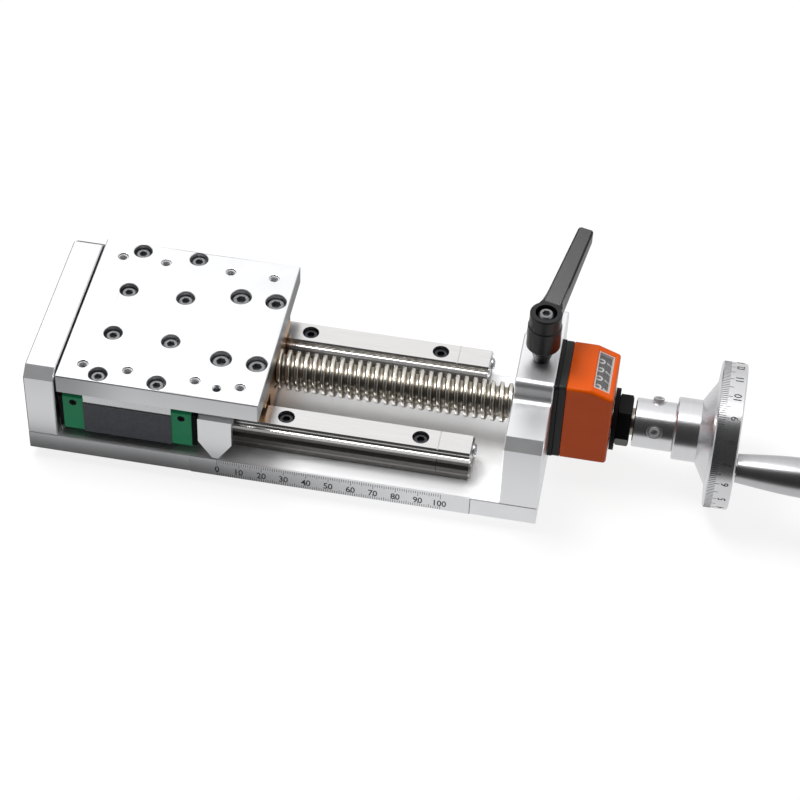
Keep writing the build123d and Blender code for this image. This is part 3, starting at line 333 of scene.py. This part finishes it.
def carriage_steel():
    finish = Finish("carriage steel", Metallic=1.0)
    skin = finish.noise(1.6, 1.6, 1.6, 4)
    ground = finish.noise(12, 0.2, 0.2)
    # Painted reflection: the bevel above CARRIAGE_BAND is smoother steel, painted light for the
    # bright light it reflects.
    band = finish.z.rise((CARRIAGE_BAND - 0.1) * MM, (CARRIAGE_BAND + 0.1) * MM)
    dark = finish.mix(skin, shade(70, 71, 76), shade(96, 97, 103))
    light = finish.mix(ground, shade(196, 197, 199), shade(218, 219, 220))
    finish.set("Base Color", finish.mix(band, dark, light))
    finish.set("Roughness", 0.42 - 0.18 * band + 0.08 * skin)
    finish.bump(skin, 0.01, 0.15)
    return finish


def green_plastic():
    finish = Finish("green plastic", Specular_IOR_Level=0.35)
    mould = finish.noise(0.5, 0.5, 0.5, 3)
    cloud = finish.noise(9, 9, 9)
    finish.set("Base Color", finish.mix(cloud, shade(6, 152, 98), shade(14, 168, 110)))
    finish.set("Roughness", 0.34 + 0.12 * mould)
    finish.bump(mould, 0.02, 0.3)
    return finish


def black_rubber():
    finish = Finish("black rubber", Specular_IOR_Level=0.15)
    skin = finish.noise(0.6, 0.6, 0.6, 3)
    finish.set("Base Color", finish.mix(skin, shade(10, 10, 11), shade(20, 20, 21)))
    finish.set("Roughness", 0.6 + 0.2 * skin)
    finish.bump(skin, 0.03, 0.4)
    return finish


def black_oxide():
    finish = Finish("black oxide steel", Metallic=1.0)
    skin = finish.noise(0.8, 0.8, 0.8, 4)
    finish.set("Base Color", finish.mix(skin, shade(52, 53, 56), shade(84, 85, 90)))
    finish.set("Roughness", 0.26 + 0.16 * skin)
    finish.bump(skin, 0.015, 0.25)
    return finish


def screw_steel(name, low, high, metal=1.0):
    finish = Finish(name, Metallic=metal)
    skin = finish.noise(0.9, 0.9, 0.9, 3)
    finish.set("Base Color", finish.mix(skin, low, high))
    finish.set("Roughness", 0.24 + 0.14 * skin)
    finish.bump(skin, 0.01, 0.25)
    return finish


def bronze():
    finish = Finish("nut bronze", Metallic=1.0)
    tooled = finish.noise(0.5, 6, 3, 3)
    finish.set("Base Color", finish.mix(tooled, shade(176, 128, 82), shade(206, 160, 110)))
    finish.set("Roughness", 0.28 + 0.14 * tooled)
    finish.bump(tooled, 0.01, 0.3)
    return finish


def orange_plastic():
    finish = Finish("orange plastic", Specular_IOR_Level=0.22)
    mould = finish.noise(0.45, 0.45, 0.45, 3)
    cloud = finish.noise(11, 11, 11)
    finish.set("Base Color", finish.mix(cloud, shade(228, 85, 0), shade(237, 96, 0)))
    finish.set("Roughness", 0.15 + 0.07 * mould)
    finish.bump(mould, 0.01, 0.25)
    return finish


def moulded(name, low, high, gloss, shine=0.22):
    finish = Finish(name, Specular_IOR_Level=shine)
    mould = finish.noise(0.5, 0.5, 0.5, 3)
    cloud = finish.noise(8, 8, 8)
    finish.set("Base Color", finish.mix(cloud, low, high))
    finish.set("Roughness", gloss + 0.14 * mould)
    finish.bump(mould, 0.015, 0.3)
    return finish


def clear_plastic():
    finish = Finish("clear plastic", Alpha=0.08)
    haze = finish.noise(3, 3, 3)
    finish.set("Base Color", finish.mix(haze, shade(244, 246, 247), shade(255, 255, 255)))
    finish.set("Roughness", 0.02 + 0.05 * haze)
    return finish


def turned_aluminium(name="turned aluminium", y=0.0, z=AXIS_Z, polish=0.22, tint=(212, 228)):
    finish = Finish(name, Metallic=1.0)
    rings = finish.turned(0.4, 0.4, y, z)
    broad = finish.turned(2.5, 2.5, y, z)
    tone = rings * 0.4 + broad * 0.6
    low, high = [shade(level, level, level + 2) for level in tint]
    finish.set("Base Color", finish.mix(tone, low, high))
    finish.set("Roughness", polish + 0.06 * tone)
    return finish


def lever_coat():
    finish = Finish("black lever coat", Specular_IOR_Level=0.4)
    skin = finish.noise(0.35, 0.35, 0.35, 3)
    cloud = finish.noise(6, 6, 6)
    finish.set("Base Color", finish.mix(cloud, shade(12, 12, 13), shade(22, 22, 23)))
    finish.set("Roughness", 0.26 + 0.12 * skin)
    finish.bump(skin, 0.03, 0.35)
    return finish


def brass():
    finish = Finish("pad brass", Metallic=1.0)
    tooled = finish.noise(0.5, 0.5, 3, 3)
    finish.set("Base Color", finish.mix(tooled, shade(196, 160, 84), shade(222, 190, 116)))
    finish.set("Roughness", 0.25 + 0.12 * tooled)
    return finish


# Paint of the marks and digits, slightly uneven.
def mark_paint(name, low, high):
    finish = Finish(name)
    wear = finish.noise(0.5, 0.5, 0.5, 3)
    finish.set("Base Color", finish.mix(wear, low, high))
    finish.set("Roughness", 0.45 + 0.15 * wear)
    return finish


ANODISED = anodised("anodised aluminium", 0.30)
BLOCK_ALUMINIUM = anodised("anodised block aluminium", 0.31, TABLE_TOP)
MILLED = milled()
BLASTED = blasted()
SCALE_ALUMINIUM = scale_aluminium()
GROUND_STEEL = ground_steel()
THREAD_STEEL = thread_steel()
RAIL_STEEL = rail_steel()
CARRIAGE_STEEL = carriage_steel()
GREEN_PLASTIC = green_plastic()
BLACK_RUBBER = black_rubber()
BLACK_OXIDE = black_oxide()
SCREW_STEEL = screw_steel("zinc plated screw steel", shade(150, 151, 154), shade(196, 197, 200))
# A darker screw steel; on the table's and nut's screws its dark colour also paints in the shade of
# their counterbores.
DARK_AND_SHADED_SCREW_STEEL = screw_steel("dark screw steel with painted shade", shade(118, 119, 121), shade(158, 159, 161))
BRIGHT_STEEL = screw_steel("bright screw steel", shade(184, 184, 186), shade(212, 212, 213), 0.6)
BRONZE = bronze()
ORANGE_PLASTIC = orange_plastic()
BLACKENED_STEEL = moulded("blackened steel", *CHARCOAL, 0.28, 0.1)
BLACK_PLASTIC = moulded("black plastic", *CHARCOAL, 0.34)
GREY_PLASTIC = moulded("grey plastic", shade(40, 41, 42), shade(52, 53, 54), 0.36)
PALE_PLASTIC = moulded("pale plastic", shade(205, 192, 190), shade(222, 210, 208), 0.4)
CLEAR_PLASTIC = clear_plastic()
CUT_THREAD = moulded("cut aluminium thread", shade(222, 222, 224), shade(242, 242, 243), 0.3)
TURNED_ALUMINIUM = turned_aluminium()
# A rougher, darker copy of the turned aluminium for the grip: its darker colour paints in the grip's
# dimmer reflections, a painted shade.
SHADED_GRIP_ALUMINIUM = turned_aluminium("turned grip aluminium with painted shade", GRIP_Y, GRIP_Z, 0.26, (186, 200))
LEVER_COAT = lever_coat()
BRASS = brass()
SCALE_PAINT = mark_paint("scale mark paint", shade(38, 39, 42), shade(70, 71, 75))
DIAL_PAINT = mark_paint("dial mark paint", shade(34, 35, 38), shade(60, 61, 65))
DIGIT_PAINT = mark_paint("counter digit paint", shade(196, 196, 194), shade(226, 226, 224))

FINISH_OF = {
    "base_plate": BLASTED,
    "left_end_block": BLOCK_ALUMINIUM,
    "right_end_block": BLOCK_ALUMINIUM,
    "table_plate": MILLED,
    "pointer": ANODISED,
    "travel_scale": SCALE_ALUMINIUM,
    "front_rail": RAIL_STEEL,
    "back_rail": RAIL_STEEL,
    "front_rail_end_piece": RAIL_STEEL,
    "back_rail_end_piece": RAIL_STEEL,
    "lead_screw": THREAD_STEEL,
    "bearing_outer_rings": GROUND_STEEL,
    "bearing_inner_rings": GROUND_STEEL,
    "bearing_balls": GROUND_STEEL,
    "spindle_spacer": GROUND_STEEL,
    "number_wheel_shaft": GROUND_STEEL,
    "handle_pivot": GROUND_STEEL,
    "front_carriage": CARRIAGE_STEEL,
    "back_carriage": CARRIAGE_STEEL,
    "front_left_end_cap": GREEN_PLASTIC,
    "front_right_end_cap": GREEN_PLASTIC,
    "back_left_end_cap": GREEN_PLASTIC,
    "back_right_end_cap": GREEN_PLASTIC,
    "front_left_seal": BLACK_RUBBER,
    "front_right_seal": BLACK_RUBBER,
    "back_left_seal": BLACK_RUBBER,
    "back_right_seal": BLACK_RUBBER,
    "spindle_nut": BLACKENED_STEEL,
    "counter_disc": BLACK_RUBBER,
    "collar_set_screws": BRIGHT_STEEL,
    "end_block_screws": BLACK_OXIDE,
    "counter_screws": BLACK_OXIDE,
    "lever_cap_screw": DARK_AND_SHADED_SCREW_STEEL,
    "pointer_cap_screw": BLACK_OXIDE,
    "rail_screws": BLACK_OXIDE,
    "lever_spring": BLACK_OXIDE,
    "clamp_stud": BLACKENED_STEEL,
    "table_screws": DARK_AND_SHADED_SCREW_STEEL,
    "nut_screws": DARK_AND_SHADED_SCREW_STEEL,
    "rail_end_screws": SCREW_STEEL,
    "handwheel_screw": SCREW_STEEL,
    "lead_nut": BRONZE,
    "counter_housing": ORANGE_PLASTIC,
    "counter_adapter_plate": BLACK_PLASTIC,
    "number_wheel_tenths": BLACK_PLASTIC,
    "number_wheel_units": BLACK_PLASTIC,
    "number_wheel_tens": BLACK_PLASTIC,
    "number_wheel_hundreds": BLACK_PLASTIC,
    "counter_back_cover": GREY_PLASTIC,
    "counter_window_frame": PALE_PLASTIC,
    "counter_window": CLEAR_PLASTIC,
    "wheel_collar": TURNED_ALUMINIUM,
    "handwheel": TURNED_ALUMINIUM,
    "counter_hollow_shaft": TURNED_ALUMINIUM,
    "handle_grip": SHADED_GRIP_ALUMINIUM,
    "lever_handle": LEVER_COAT,
    "clamp_pad": BRASS,
}
for node, finish in FINISH_OF.items():
    materials = frame["nodes"][node].data.materials
    materials.clear()
    materials.append(finish.material)


# MODELLING TOOLS

# Height of the font's figures, as a share of the text's size
FIGURE_HEIGHT = 0.69
WELD = 0.001 * MM
SMOOTH_EDGE = 35


def deselect():
    if bpy.context.mode != "OBJECT":
        bpy.ops.object.mode_set(mode="OBJECT")
    bpy.ops.object.select_all(action="DESELECT")


# The new object that the last operator made, named and painted.
def named(name, finish):
    made = bpy.context.object
    made.name = name
    made.data.name = name
    made.data.materials.clear()
    made.data.materials.append(finish.material)
    return made


def choose(*objects):
    deselect()
    for each in objects:
        each.select_set(True)
    bpy.context.view_layer.objects.active = objects[0]


def finish_modifiers(thing):
    choose(thing)
    for modifier in list(thing.modifiers):
        bpy.ops.object.modifier_apply(modifier=modifier.name)


# Moves a finished mesh to its place and leaves its object at the origin.
def settle(thing, place):
    choose(thing)
    thing.matrix_world = place @ thing.matrix_world
    bpy.ops.object.transform_apply(location=True, rotation=True, scale=True)
    return thing


def joined(name, things):
    choose(*things)
    bpy.ops.object.join()
    made = bpy.context.object
    made.name = name
    made.data.name = name
    return made


def smooth(thing, angle):
    choose(thing)
    bpy.ops.object.shade_smooth_by_angle(angle=radians(angle))


# A wire in the XZ plane, drawn point by point from a small plane that is merged to one point.
def drawn_line(name, finish, points):
    deselect()
    bpy.ops.mesh.primitive_plane_add(size=MM)
    line = named(name, finish)
    bpy.ops.object.mode_set(mode="EDIT")
    bpy.ops.mesh.select_mode(type="VERT")
    bpy.ops.mesh.merge(type="CENTER")
    bpy.ops.transform.translate(value=Vector((points[0][0], 0, points[0][1])) * MM)
    for (x0, z0), (x1, z1) in zip(points, points[1:]):
        step = Vector((x1 - x0, 0, z1 - z0)) * MM
        bpy.ops.mesh.extrude_region_move(TRANSFORM_OT_translate={"value": step})
    bpy.ops.object.mode_set(mode="OBJECT")
    return line


def tidy_mesh(thing):
    choose(thing)
    bpy.ops.object.mode_set(mode="EDIT")
    bpy.ops.mesh.select_all(action="SELECT")
    bpy.ops.mesh.remove_doubles(threshold=WELD)
    bpy.ops.mesh.normals_make_consistent(inside=False)
    bpy.ops.object.mode_set(mode="OBJECT")


# A turned shape round the X axis through the origin, from its outline of (x, radius) points.
def turned_shape(name, finish, outline, steps=64):
    shape = drawn_line(name, finish, outline)
    bpy.ops.object.mode_set(mode="EDIT")
    bpy.ops.mesh.select_all(action="SELECT")
    bpy.ops.mesh.spin(steps=steps, angle=2 * pi, center=(0, 0, 0), axis=(1, 0, 0))
    tidy_mesh(shape)
    return shape


# A small painted bar, low to high in millimetres, drawn as a plate and given its thickness along Y.
def painted_bar(name, finish, low, high):
    deselect()
    bpy.ops.mesh.primitive_plane_add(size=MM)
    bar = named(name, finish)
    bpy.ops.object.mode_set(mode="EDIT")
    bpy.ops.transform.resize(value=(high[0] - low[0], high[1] - low[1], 1))
    thickness = (0, 0, (high[2] - low[2]) * MM)
    bpy.ops.mesh.extrude_region_move(TRANSFORM_OT_translate={"value": thickness})
    middle = Vector(((low[0] + high[0]) / 2, (low[1] + high[1]) / 2, low[2])) * MM
    bpy.ops.mesh.select_all(action="SELECT")
    bpy.ops.transform.translate(value=middle)
    bpy.ops.mesh.normals_make_consistent(inside=False)
    bpy.ops.object.mode_set(mode="OBJECT")
    return bar


def repeated(bar, count, pitch):
    array = bar.modifiers.new("row", "ARRAY")
    array.count = count
    array.use_relative_offset = False
    array.use_constant_offset = True
    array.constant_offset_displace = Vector(pitch) * MM
    finish_modifiers(bar)
    return bar


# Digits as a thin mesh in the XY plane, centred on the origin, reading along +X.
def digits(name, finish, text, height, squeeze, thickness, bold=0.0, spacing=1.0):
    deselect()
    bpy.ops.object.text_add()
    words = bpy.context.object
    words.data.body = text
    words.data.size = height * MM / FIGURE_HEIGHT
    words.data.extrude = thickness * MM / 2
    words.data.offset = bold * MM
    words.data.space_character = spacing
    words.data.resolution_u = 2
    bpy.ops.object.convert(target="MESH")
    words = named(name, finish)
    bpy.ops.object.origin_set(type="ORIGIN_GEOMETRY", center="BOUNDS")
    words.matrix_world = Matrix.Diagonal((squeeze, 1, 1, 1))
    bpy.ops.object.transform_apply(location=True, rotation=True, scale=True)
    return words


# A wire wound round the Z axis, its lowest point at height 0, with both ends closed.
def coil(name, finish, radius, wire, rise, turns, corners, steps):
    deselect()
    bpy.ops.mesh.primitive_circle_add(vertices=corners, radius=wire * MM, rotation=(pi / 2, 0, 0))
    wound = named(name, finish)
    bpy.ops.object.transform_apply(location=True, rotation=True, scale=True)
    bpy.ops.object.mode_set(mode="EDIT")
    bpy.ops.mesh.select_all(action="SELECT")
    bpy.ops.transform.translate(value=(radius * MM, 0, wire * MM))
    bpy.ops.object.mode_set(mode="OBJECT")
    winding = wound.modifiers.new("winding", "SCREW")
    winding.axis = "Z"
    winding.screw_offset = (rise - 2 * wire) / turns * MM
    winding.iterations = turns
    winding.steps = steps
    winding.render_steps = steps
    finish_modifiers(wound)
    bpy.ops.object.mode_set(mode="EDIT")
    bpy.ops.mesh.select_all(action="SELECT")
    bpy.ops.mesh.remove_doubles(threshold=WELD)
    bpy.ops.mesh.fill_holes(sides=corners + 2)
    bpy.ops.mesh.normals_make_consistent(inside=False)
    bpy.ops.object.mode_set(mode="OBJECT")
    return wound


# EDGES

# A CAD piece's own mesh with its sharp edges rounded, which takes the piece's place.
def softened(node, body, width, angle=40, rings=2):
    source = frame["nodes"][node]
    deselect()
    source.hide_set(False)
    choose(source)
    bpy.ops.object.duplicate()
    soft = bpy.context.object
    soft.name = node + "_soft"
    bpy.ops.mesh.customdata_custom_splitnormals_clear()
    tidy_mesh(soft)
    edges = soft.modifiers.new("edges", "BEVEL")
    edges.width = width * MM
    edges.segments = rings
    edges.limit_method = "ANGLE"
    edges.angle_limit = radians(angle)
    edges.use_clamp_overlap = False
    finish_modifiers(soft)
    smooth(soft, SMOOTH_EDGE)
    flats = soft.modifiers.new("flats", "WEIGHTED_NORMAL")
    flats.keep_sharp = True
    finish_modifiers(soft)
    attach(soft, body)
    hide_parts(node)


softened("counter_housing", "base", 0.7, rings=3)
softened("counter_back_cover", "base", 0.4)
softened("counter_adapter_plate", "base", 0.3)
softened("base_plate", "base", 0.2, 60, 1)
softened("left_end_block", "base", 0.25, 60, 1)
softened("right_end_block", "base", 0.25, 60, 1)
softened("collar_set_screws", "spindle", 0.4)
softened("table_plate", "table", 0.25, 60, 1)


# THREADS IN THE TABLE'S TAPPED HOLES, PLUGS AND END SCREWS


def hole_threads():
    hole_radius = 2.15
    ridge = 0.45
    depth = 5.6
    mouth = 0.3
    turns = 6
    rings = []
    for dx in (-35, -15, 15, 35):
        for y in (-35, 35):
            ring = coil("thread", CUT_THREAD, hole_radius, ridge, depth, turns, 4, 20)
            place = Vector((TABLE_X + dx, y, TABLE_TOP - depth - mouth)) * MM
            rings.append(settle(ring, Matrix.Translation(place)))
    rings = joined("hole_threads", rings)
    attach(rings, "table")


hole_threads()


# Black plugs in the grease ports of the carriages' end caps; their black stands in for the shade
# inside the ports, a painted shade.
def port_plugs():
    outline = [
        (1.4, 0),
        (1.4, 1.3),
        (0, 1.3),
        (0, 1.7),
        (-0.1, 1.6),
        (-0.1, 0.7),
        (0.3, 0.5),
        (0.3, 0),
    ]
    cap_middles = (-92.75, -44.25)
    outer, inner = 43.6, 10.4
    port_z = 31.5
    plugs = []
    for x in cap_middles:
        for y, facing in ((-outer, 1), (-inner, -1), (inner, 1), (outer, -1)):
            plug = turned_shape("plug", BLACK_RUBBER, outline, 20)
            place = Matrix.Translation(Vector((x, y, port_z)) * MM)
            plugs.append(settle(plug, place @ Matrix.Rotation(facing * pi / 2, 4, "Z")))
    plugs = joined("port_plugs", plugs)
    smooth(plugs, SMOOTH_EDGE)
    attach(plugs, "table")


port_plugs()


# Low round-headed screws on the ends of the rails.
def end_screws():
    outline = [
        (-8, 0),
        (-8, 1.4),
        (0, 1.4),
        (0, 2.9),
        (0.5, 2.96),
        (1.1, 2.6),
        (1.5, 1.7),
        (0.8, 1.2),
        (0.8, 0),
    ]
    rail_end = 82.5
    rail_y = 27
    screw_z = 22
    screws = []
    for y in (-rail_y, rail_y):
        screw = turned_shape("end_screw", SCREW_STEEL, outline, 32)
        screws.append(settle(screw, Matrix.Translation(Vector((rail_end, y, screw_z)) * MM)))
    screws = joined("end_screws", screws)
    smooth(screws, SMOOTH_EDGE)
    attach(screws, "base")
    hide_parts("rail_end_screws")


end_screws()


# DRIVE SCREW

SCREW_CORE = 6.75
SCREW_PITCH = 4.0
SCREW_LEFT = -99.5
SCREW_RIGHT = 96.0


# One tooth of the trapezium thread, with its corners broken, from root to root.
def thread_tooth(start):
    flat = 0.665
    flank = 0.603
    crest = 1.464
    corner = 0.14
    run = corner * flank / hypot(flank, SCREW_RADIUS - SCREW_CORE)
    fall = corner * (SCREW_RADIUS - SCREW_CORE) / hypot(flank, SCREW_RADIUS - SCREW_CORE)
    points = [
        (0.0, SCREW_CORE),
        (flat - corner, SCREW_CORE),
        (flat + run, SCREW_CORE + fall),
        (flat + flank - run, SCREW_RADIUS - fall),
        (flat + flank + corner, SCREW_RADIUS),
        (flat + flank + crest - corner, SCREW_RADIUS),
        (flat + flank + crest + run, SCREW_RADIUS - fall),
        (flat + 2 * flank + crest - run, SCREW_CORE + fall),
        (flat + 2 * flank + crest + corner, SCREW_CORE),
        (SCREW_PITCH, SCREW_CORE),
    ]
    return [(start + x, r) for x, r in points]


def drive_screw():
    turns = int((SCREW_RIGHT - SCREW_LEFT) / SCREW_PITCH) + 4
    steps = 48
    tooth = thread_tooth(SCREW_LEFT - 2 * SCREW_PITCH)
    thread = drawn_line("screw_thread", THREAD_STEEL, tooth)
    winding = thread.modifiers.new("winding", "SCREW")
    winding.axis = "X"
    winding.screw_offset = SCREW_PITCH * MM
    winding.iterations = turns
    winding.steps = steps
    winding.render_steps = steps
    winding.use_merge_vertices = True
    winding.merge_threshold = WELD
    finish_modifiers(thread)
    tidy_mesh(thread)
    for end, facing in ((SCREW_LEFT, -1), (SCREW_RIGHT, 1)):
        bpy.ops.object.mode_set(mode="EDIT")
        bpy.ops.mesh.select_all(action="SELECT")
        bpy.ops.mesh.bisect(
            plane_co=(end * MM, 0, 0), plane_no=(facing, 0, 0), use_fill=True, clear_outer=True
        )
        bpy.ops.object.mode_set(mode="OBJECT")
    tidy_mesh(thread)
    smooth(thread, 40)
    journal = 6.0
    shoulder = 7.0
    tapped = 3.0
    left_end = -108.0
    right_end = 185.9
    outline = [
        (left_end, 0.0),
        (left_end, journal - 0.5),
        (left_end + 0.5, journal),
        (SCREW_LEFT - 1.0, journal),
        (SCREW_LEFT - 1.0, shoulder),
        (SCREW_LEFT + 0.5, shoulder),
        (SCREW_LEFT + 0.7, journal),
        (SCREW_RIGHT - 0.6, journal),
        (SCREW_RIGHT - 0.4, shoulder),
        (SCREW_RIGHT + 1.0, shoulder),
        (SCREW_RIGHT + 1.0, journal),
        (right_end, journal),
        (right_end, tapped),
        (right_end - 16.0, tapped),
        (right_end - 17.7, 0.0),
    ]
    shaft = turned_shape("screw_shaft", THREAD_STEEL, outline)
    smooth(shaft, 30)
    screw = joined("drive_screw", [thread, shaft])
    settle(screw, Matrix.Translation((0, 0, AXIS_Z * MM)))
    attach(screw, "spindle")
    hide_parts("lead_screw")


drive_screw()


# SPRING UNDER THE LEVER'S SCREW


def lever_coil():
    low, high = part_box("lever_spring")
    spring = coil("lever_coil", BLACK_OXIDE, 3.4, 0.35, (high.z - low.z) / MM, 3, 10, 32)
    smooth(spring, 50)
    settle(spring, Matrix.Translation((LEVER_X * MM, 0, low.z)))
    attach(spring, "clamp_stud")
    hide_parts("lever_spring")
    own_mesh(spring)


lever_coil()


# SCALE ON THE BASE PLATE

FRONT_VIEW = Matrix.Rotation(pi / 2, 4, "X")
MARK_DEPTH = 0.04
MARK_PROUD = 0.02
MARK_HALF = 0.11
STRIP_LOW = 0.1
STRIP_HIGH = 9.9


def scale_face(x, z):
    return Matrix.Translation(Vector((x, BASE_FRONT, z)) * MM) @ FRONT_VIEW


def travel_marks():
    low = -MARK_DEPTH + MARK_PROUD
    rows = []
    for edge, toward in ((0.25, 1), (9.75, -1)):
        for count, pitch, start, end in ((101, 1, 0.0, 1.6), (21, 5, 1.6, 2.2), (11, 10, 2.2, 3.0)):
            z0, z1 = sorted((edge + toward * start, edge + toward * end))
            ends = (-MARK_HALF, z0, low), (MARK_HALF, z1, MARK_PROUD)
            bar = painted_bar("mark", SCALE_PAINT, *ends)
            rows.append(repeated(bar, count, (pitch, 0, 0)))
    ends = (STRIP_END - 0.1, STRIP_LOW, low), (STRIP_END + 0.1, STRIP_HIGH, MARK_PROUD)
    rows.append(painted_bar("mark", SCALE_PAINT, *ends))
    marks = joined("scale_marks", rows)
    settle(marks, scale_face(SCALE_ZERO, 0))
    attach(marks, "base")
    numbers = []
    for value in range(0, 101, 10):
        number = digits("number", SCALE_PAINT, str(value), 3.6, 0.85, MARK_DEPTH, 0.07, 0.95)
        numbers.append(settle(number, scale_face(SCALE_ZERO + value, 4.0)))
    numbers = joined("scale_numbers", numbers)
    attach(numbers, "base")


travel_marks()


# DIAL ON THE HANDWHEEL'S RIM

DIAL_NUMBERS = 20
DIAL_ZERO = -77.4


# The place of a mark on the rim: X towards +Z at the front, Y towards the hub, Z outwards.
def rim_place(from_left, degrees):
    outward = Vector((0, cos(radians(degrees)), sin(radians(degrees))))
    up = Vector((-1, 0, 0))
    right = up.cross(outward)
    spot = Vector((RIM_LEFT + from_left, 0, AXIS_Z)) + outward * RIM_RADIUS
    place = Matrix((right, up, outward)).transposed().to_4x4()
    place.translation = spot * MM
    return place


def dial():
    bars = []
    for count, start, end in ((200, 0.5, 3.6), (40, 3.6, 5.4)):
        bar = painted_bar("mark", DIAL_PAINT, (-0.14, -end, -0.03), (0.14, -start, 0.02))
        settle(bar, rim_place(0.0, DIAL_ZERO))
        bpy.ops.object.mode_set(mode="EDIT")
        bpy.ops.mesh.select_all(action="SELECT")
        turn = 2 * pi / count
        bpy.ops.mesh.spin(
            steps=count - 1,
            angle=turn * (count - 1),
            center=(0, 0, AXIS_Z * MM),
            axis=(1, 0, 0),
            dupli=True,
        )
        bpy.ops.object.mode_set(mode="OBJECT")
        bars.append(bar)
    marks = joined("dial_marks", bars)
    numbers = []
    for value in range(DIAL_NUMBERS):
        number = digits("number", DIAL_PAINT, str(value), 3.4, 0.85, 0.12, 0.03, 0.95)
        place = rim_place(7.6, DIAL_ZERO - value * 360 / DIAL_NUMBERS)
        numbers.append(settle(number, place))
    numbers = joined("dial_numbers", numbers)
    for piece in (marks, numbers):
        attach(piece, "spindle")


dial()


# DIGITS ON THE NUMBER WHEELS


def wheel_digits():
    first = -WHEEL_PITCH * (len(WHEELS) - 1) / 2
    for place_of, wheel in enumerate(WHEELS):
        y = first + WHEEL_PITCH * place_of
        figures = []
        for value in range(10):
            figure = digits("figure", DIGIT_PAINT, str(value), 3.4, 1.3, 0.3, 0.1)
            turn = Matrix.Rotation(radians(36 * value + FIRST_DIGIT), 4, "Y")
            upright = Matrix.Rotation(pi / 2, 4, "Z")
            axis = Matrix.Translation(Vector((WHEEL_AXIS_X, y, WHEEL_AXIS_Z)) * MM)
            top = Matrix.Translation((0, 0, (WHEEL_RADIUS - 0.08) * MM))
            figures.append(settle(figure, axis @ turn @ top @ upright))
        piece = joined(wheel + "_digits", figures)
        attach(piece, wheel + "_wheel")


wheel_digits()


# STAGE, LIGHT AND CAMERA

FLOOR_SIZE = 6.0
LENS = 110.746
EYE = (0.15435098, -0.75579588, 0.8120089)
EYE_TURN = (43.853398, -1.804025, 10.088743)


def floor_paint():
    finish = Finish("pale floor", Roughness=0.9)
    cloud = finish.noise(60, 60, 60)
    ray = finish.node("ShaderNodeLightPath", {}, {})
    seen = ray.output("Is Camera Ray")
    white = finish.mix(cloud, (0.95, 0.95, 0.95, 1), (0.97, 0.97, 0.97, 1))
    finish.set("Base Color", finish.mix(seen, (0.4, 0.4, 0.4, 1), white))
    lit = Value(finish, finish.shader.outputs[0])
    plain = finish.node("ShaderNodeEmission", {}, {"Strength": 1.04})
    shown = finish.node("ShaderNodeMixShader", {}, {0: seen * 0.8, 1: lit, 2: plain})
    # What bright metal sees of the floor: pale, with a dark card further out in front of the slide
    # and a shadow along the left half of its front edge.
    card = finish.y.rise(-0.16, -0.08)
    near = finish.y.rise(-0.066, -0.056) * (1 - finish.x.rise(-0.045, 0.075))
    level = (0.06 + 0.76 * card) * (1 - 0.9 * near)
    mirrored = finish.node("ShaderNodeEmission", {}, {"Strength": level})
    glossy = ray.output("Is Glossy Ray")
    both = finish.node("ShaderNodeMixShader", {}, {0: glossy, 1: shown, 2: mirrored})
    finish.plug(finish.tree.nodes["Material Output"].inputs["Surface"], both)
    return finish


def stage():
    deselect()
    bpy.ops.mesh.primitive_plane_add(size=FLOOR_SIZE, location=(0, 0, cad_box[0][2]))
    floor = named("floor", floor_paint())
    bpy.ops.object.transform_apply(location=True, rotation=True, scale=True)


stage()


def world():
    sky = bpy.data.worlds.new("studio")
    bpy.context.scene.world = sky
    sky.use_nodes = True
    tree = sky.node_tree
    studio = Shading(tree)
    way = studio.node("ShaderNodeTexCoord", {}, {}).output("Generated")

    def toward(x, y, z):
        sockets = {0: way, 1: (x, y, z)}
        dot = studio.node("ShaderNodeVectorMath", {"operation": "DOT_PRODUCT"}, sockets)
        return dot.output("Value")

    # Metal mirrors a dark room behind the camera and a bright soft box high at the back.
    dark = toward(0, -0.89, 0.46).rise(0.42, 0.78)
    box = toward(-0.10, 0.50, 0.86).rise(0.70, 0.95)
    mirror = 0.82 - 0.78 * dark + 0.18 * box
    # What lights the paint and plastic comes from above more than from the front.
    ambient = 0.05 + 0.5 * toward(0, 0.25, 0.97).greater(0.0)
    ray = studio.node("ShaderNodeLightPath", {}, {})
    camera = ray.output("Is Camera Ray")
    glossy = ray.output("Is Glossy Ray").greater(ray.output("Is Transmission Ray"))
    lit = glossy * mirror + (1 - glossy) * ambient
    strength = camera + (1 - camera) * lit
    background = tree.nodes["Background"]
    studio.plug(background.inputs["Strength"], strength)
    background.inputs["Color"].default_value = (1, 1, 1, 1)


world()


def lamp(name, place, target, size, power, diffuse, gloss):
    light = bpy.data.lights.new(name, "AREA")
    light.shape = "SQUARE"
    light.size = size
    light.energy = power
    light.diffuse_factor = diffuse
    light.specular_factor = gloss
    holder = bpy.data.objects.new(name, light)
    bpy.context.scene.collection.objects.link(holder)
    holder.location = place
    holder.rotation_euler = (Vector(target) - Vector(place)).to_track_quat("-Z", "Y").to_euler()


lamp("soft_box", (-0.3, 0.1, 1.0), (0.03, 0, 0.02), 0.4, 7.5, 1.0, 0.0)
lamp("edge_light", (0.05, -0.09, 1.0), (0.05, 0, 0.02), 0.3, 1.2, 0.0, 1.0)


def camera():
    lens = bpy.data.cameras.new("camera")
    lens.lens = LENS
    lens.sensor_width = 36.0
    eye = bpy.data.objects.new("camera", lens)
    bpy.context.scene.collection.objects.link(eye)
    eye.location = EYE
    eye.rotation_euler = [radians(angle) for angle in EYE_TURN]
    bpy.context.scene.camera = eye


camera()
bpy.context.scene.view_settings.view_transform = "Standard"
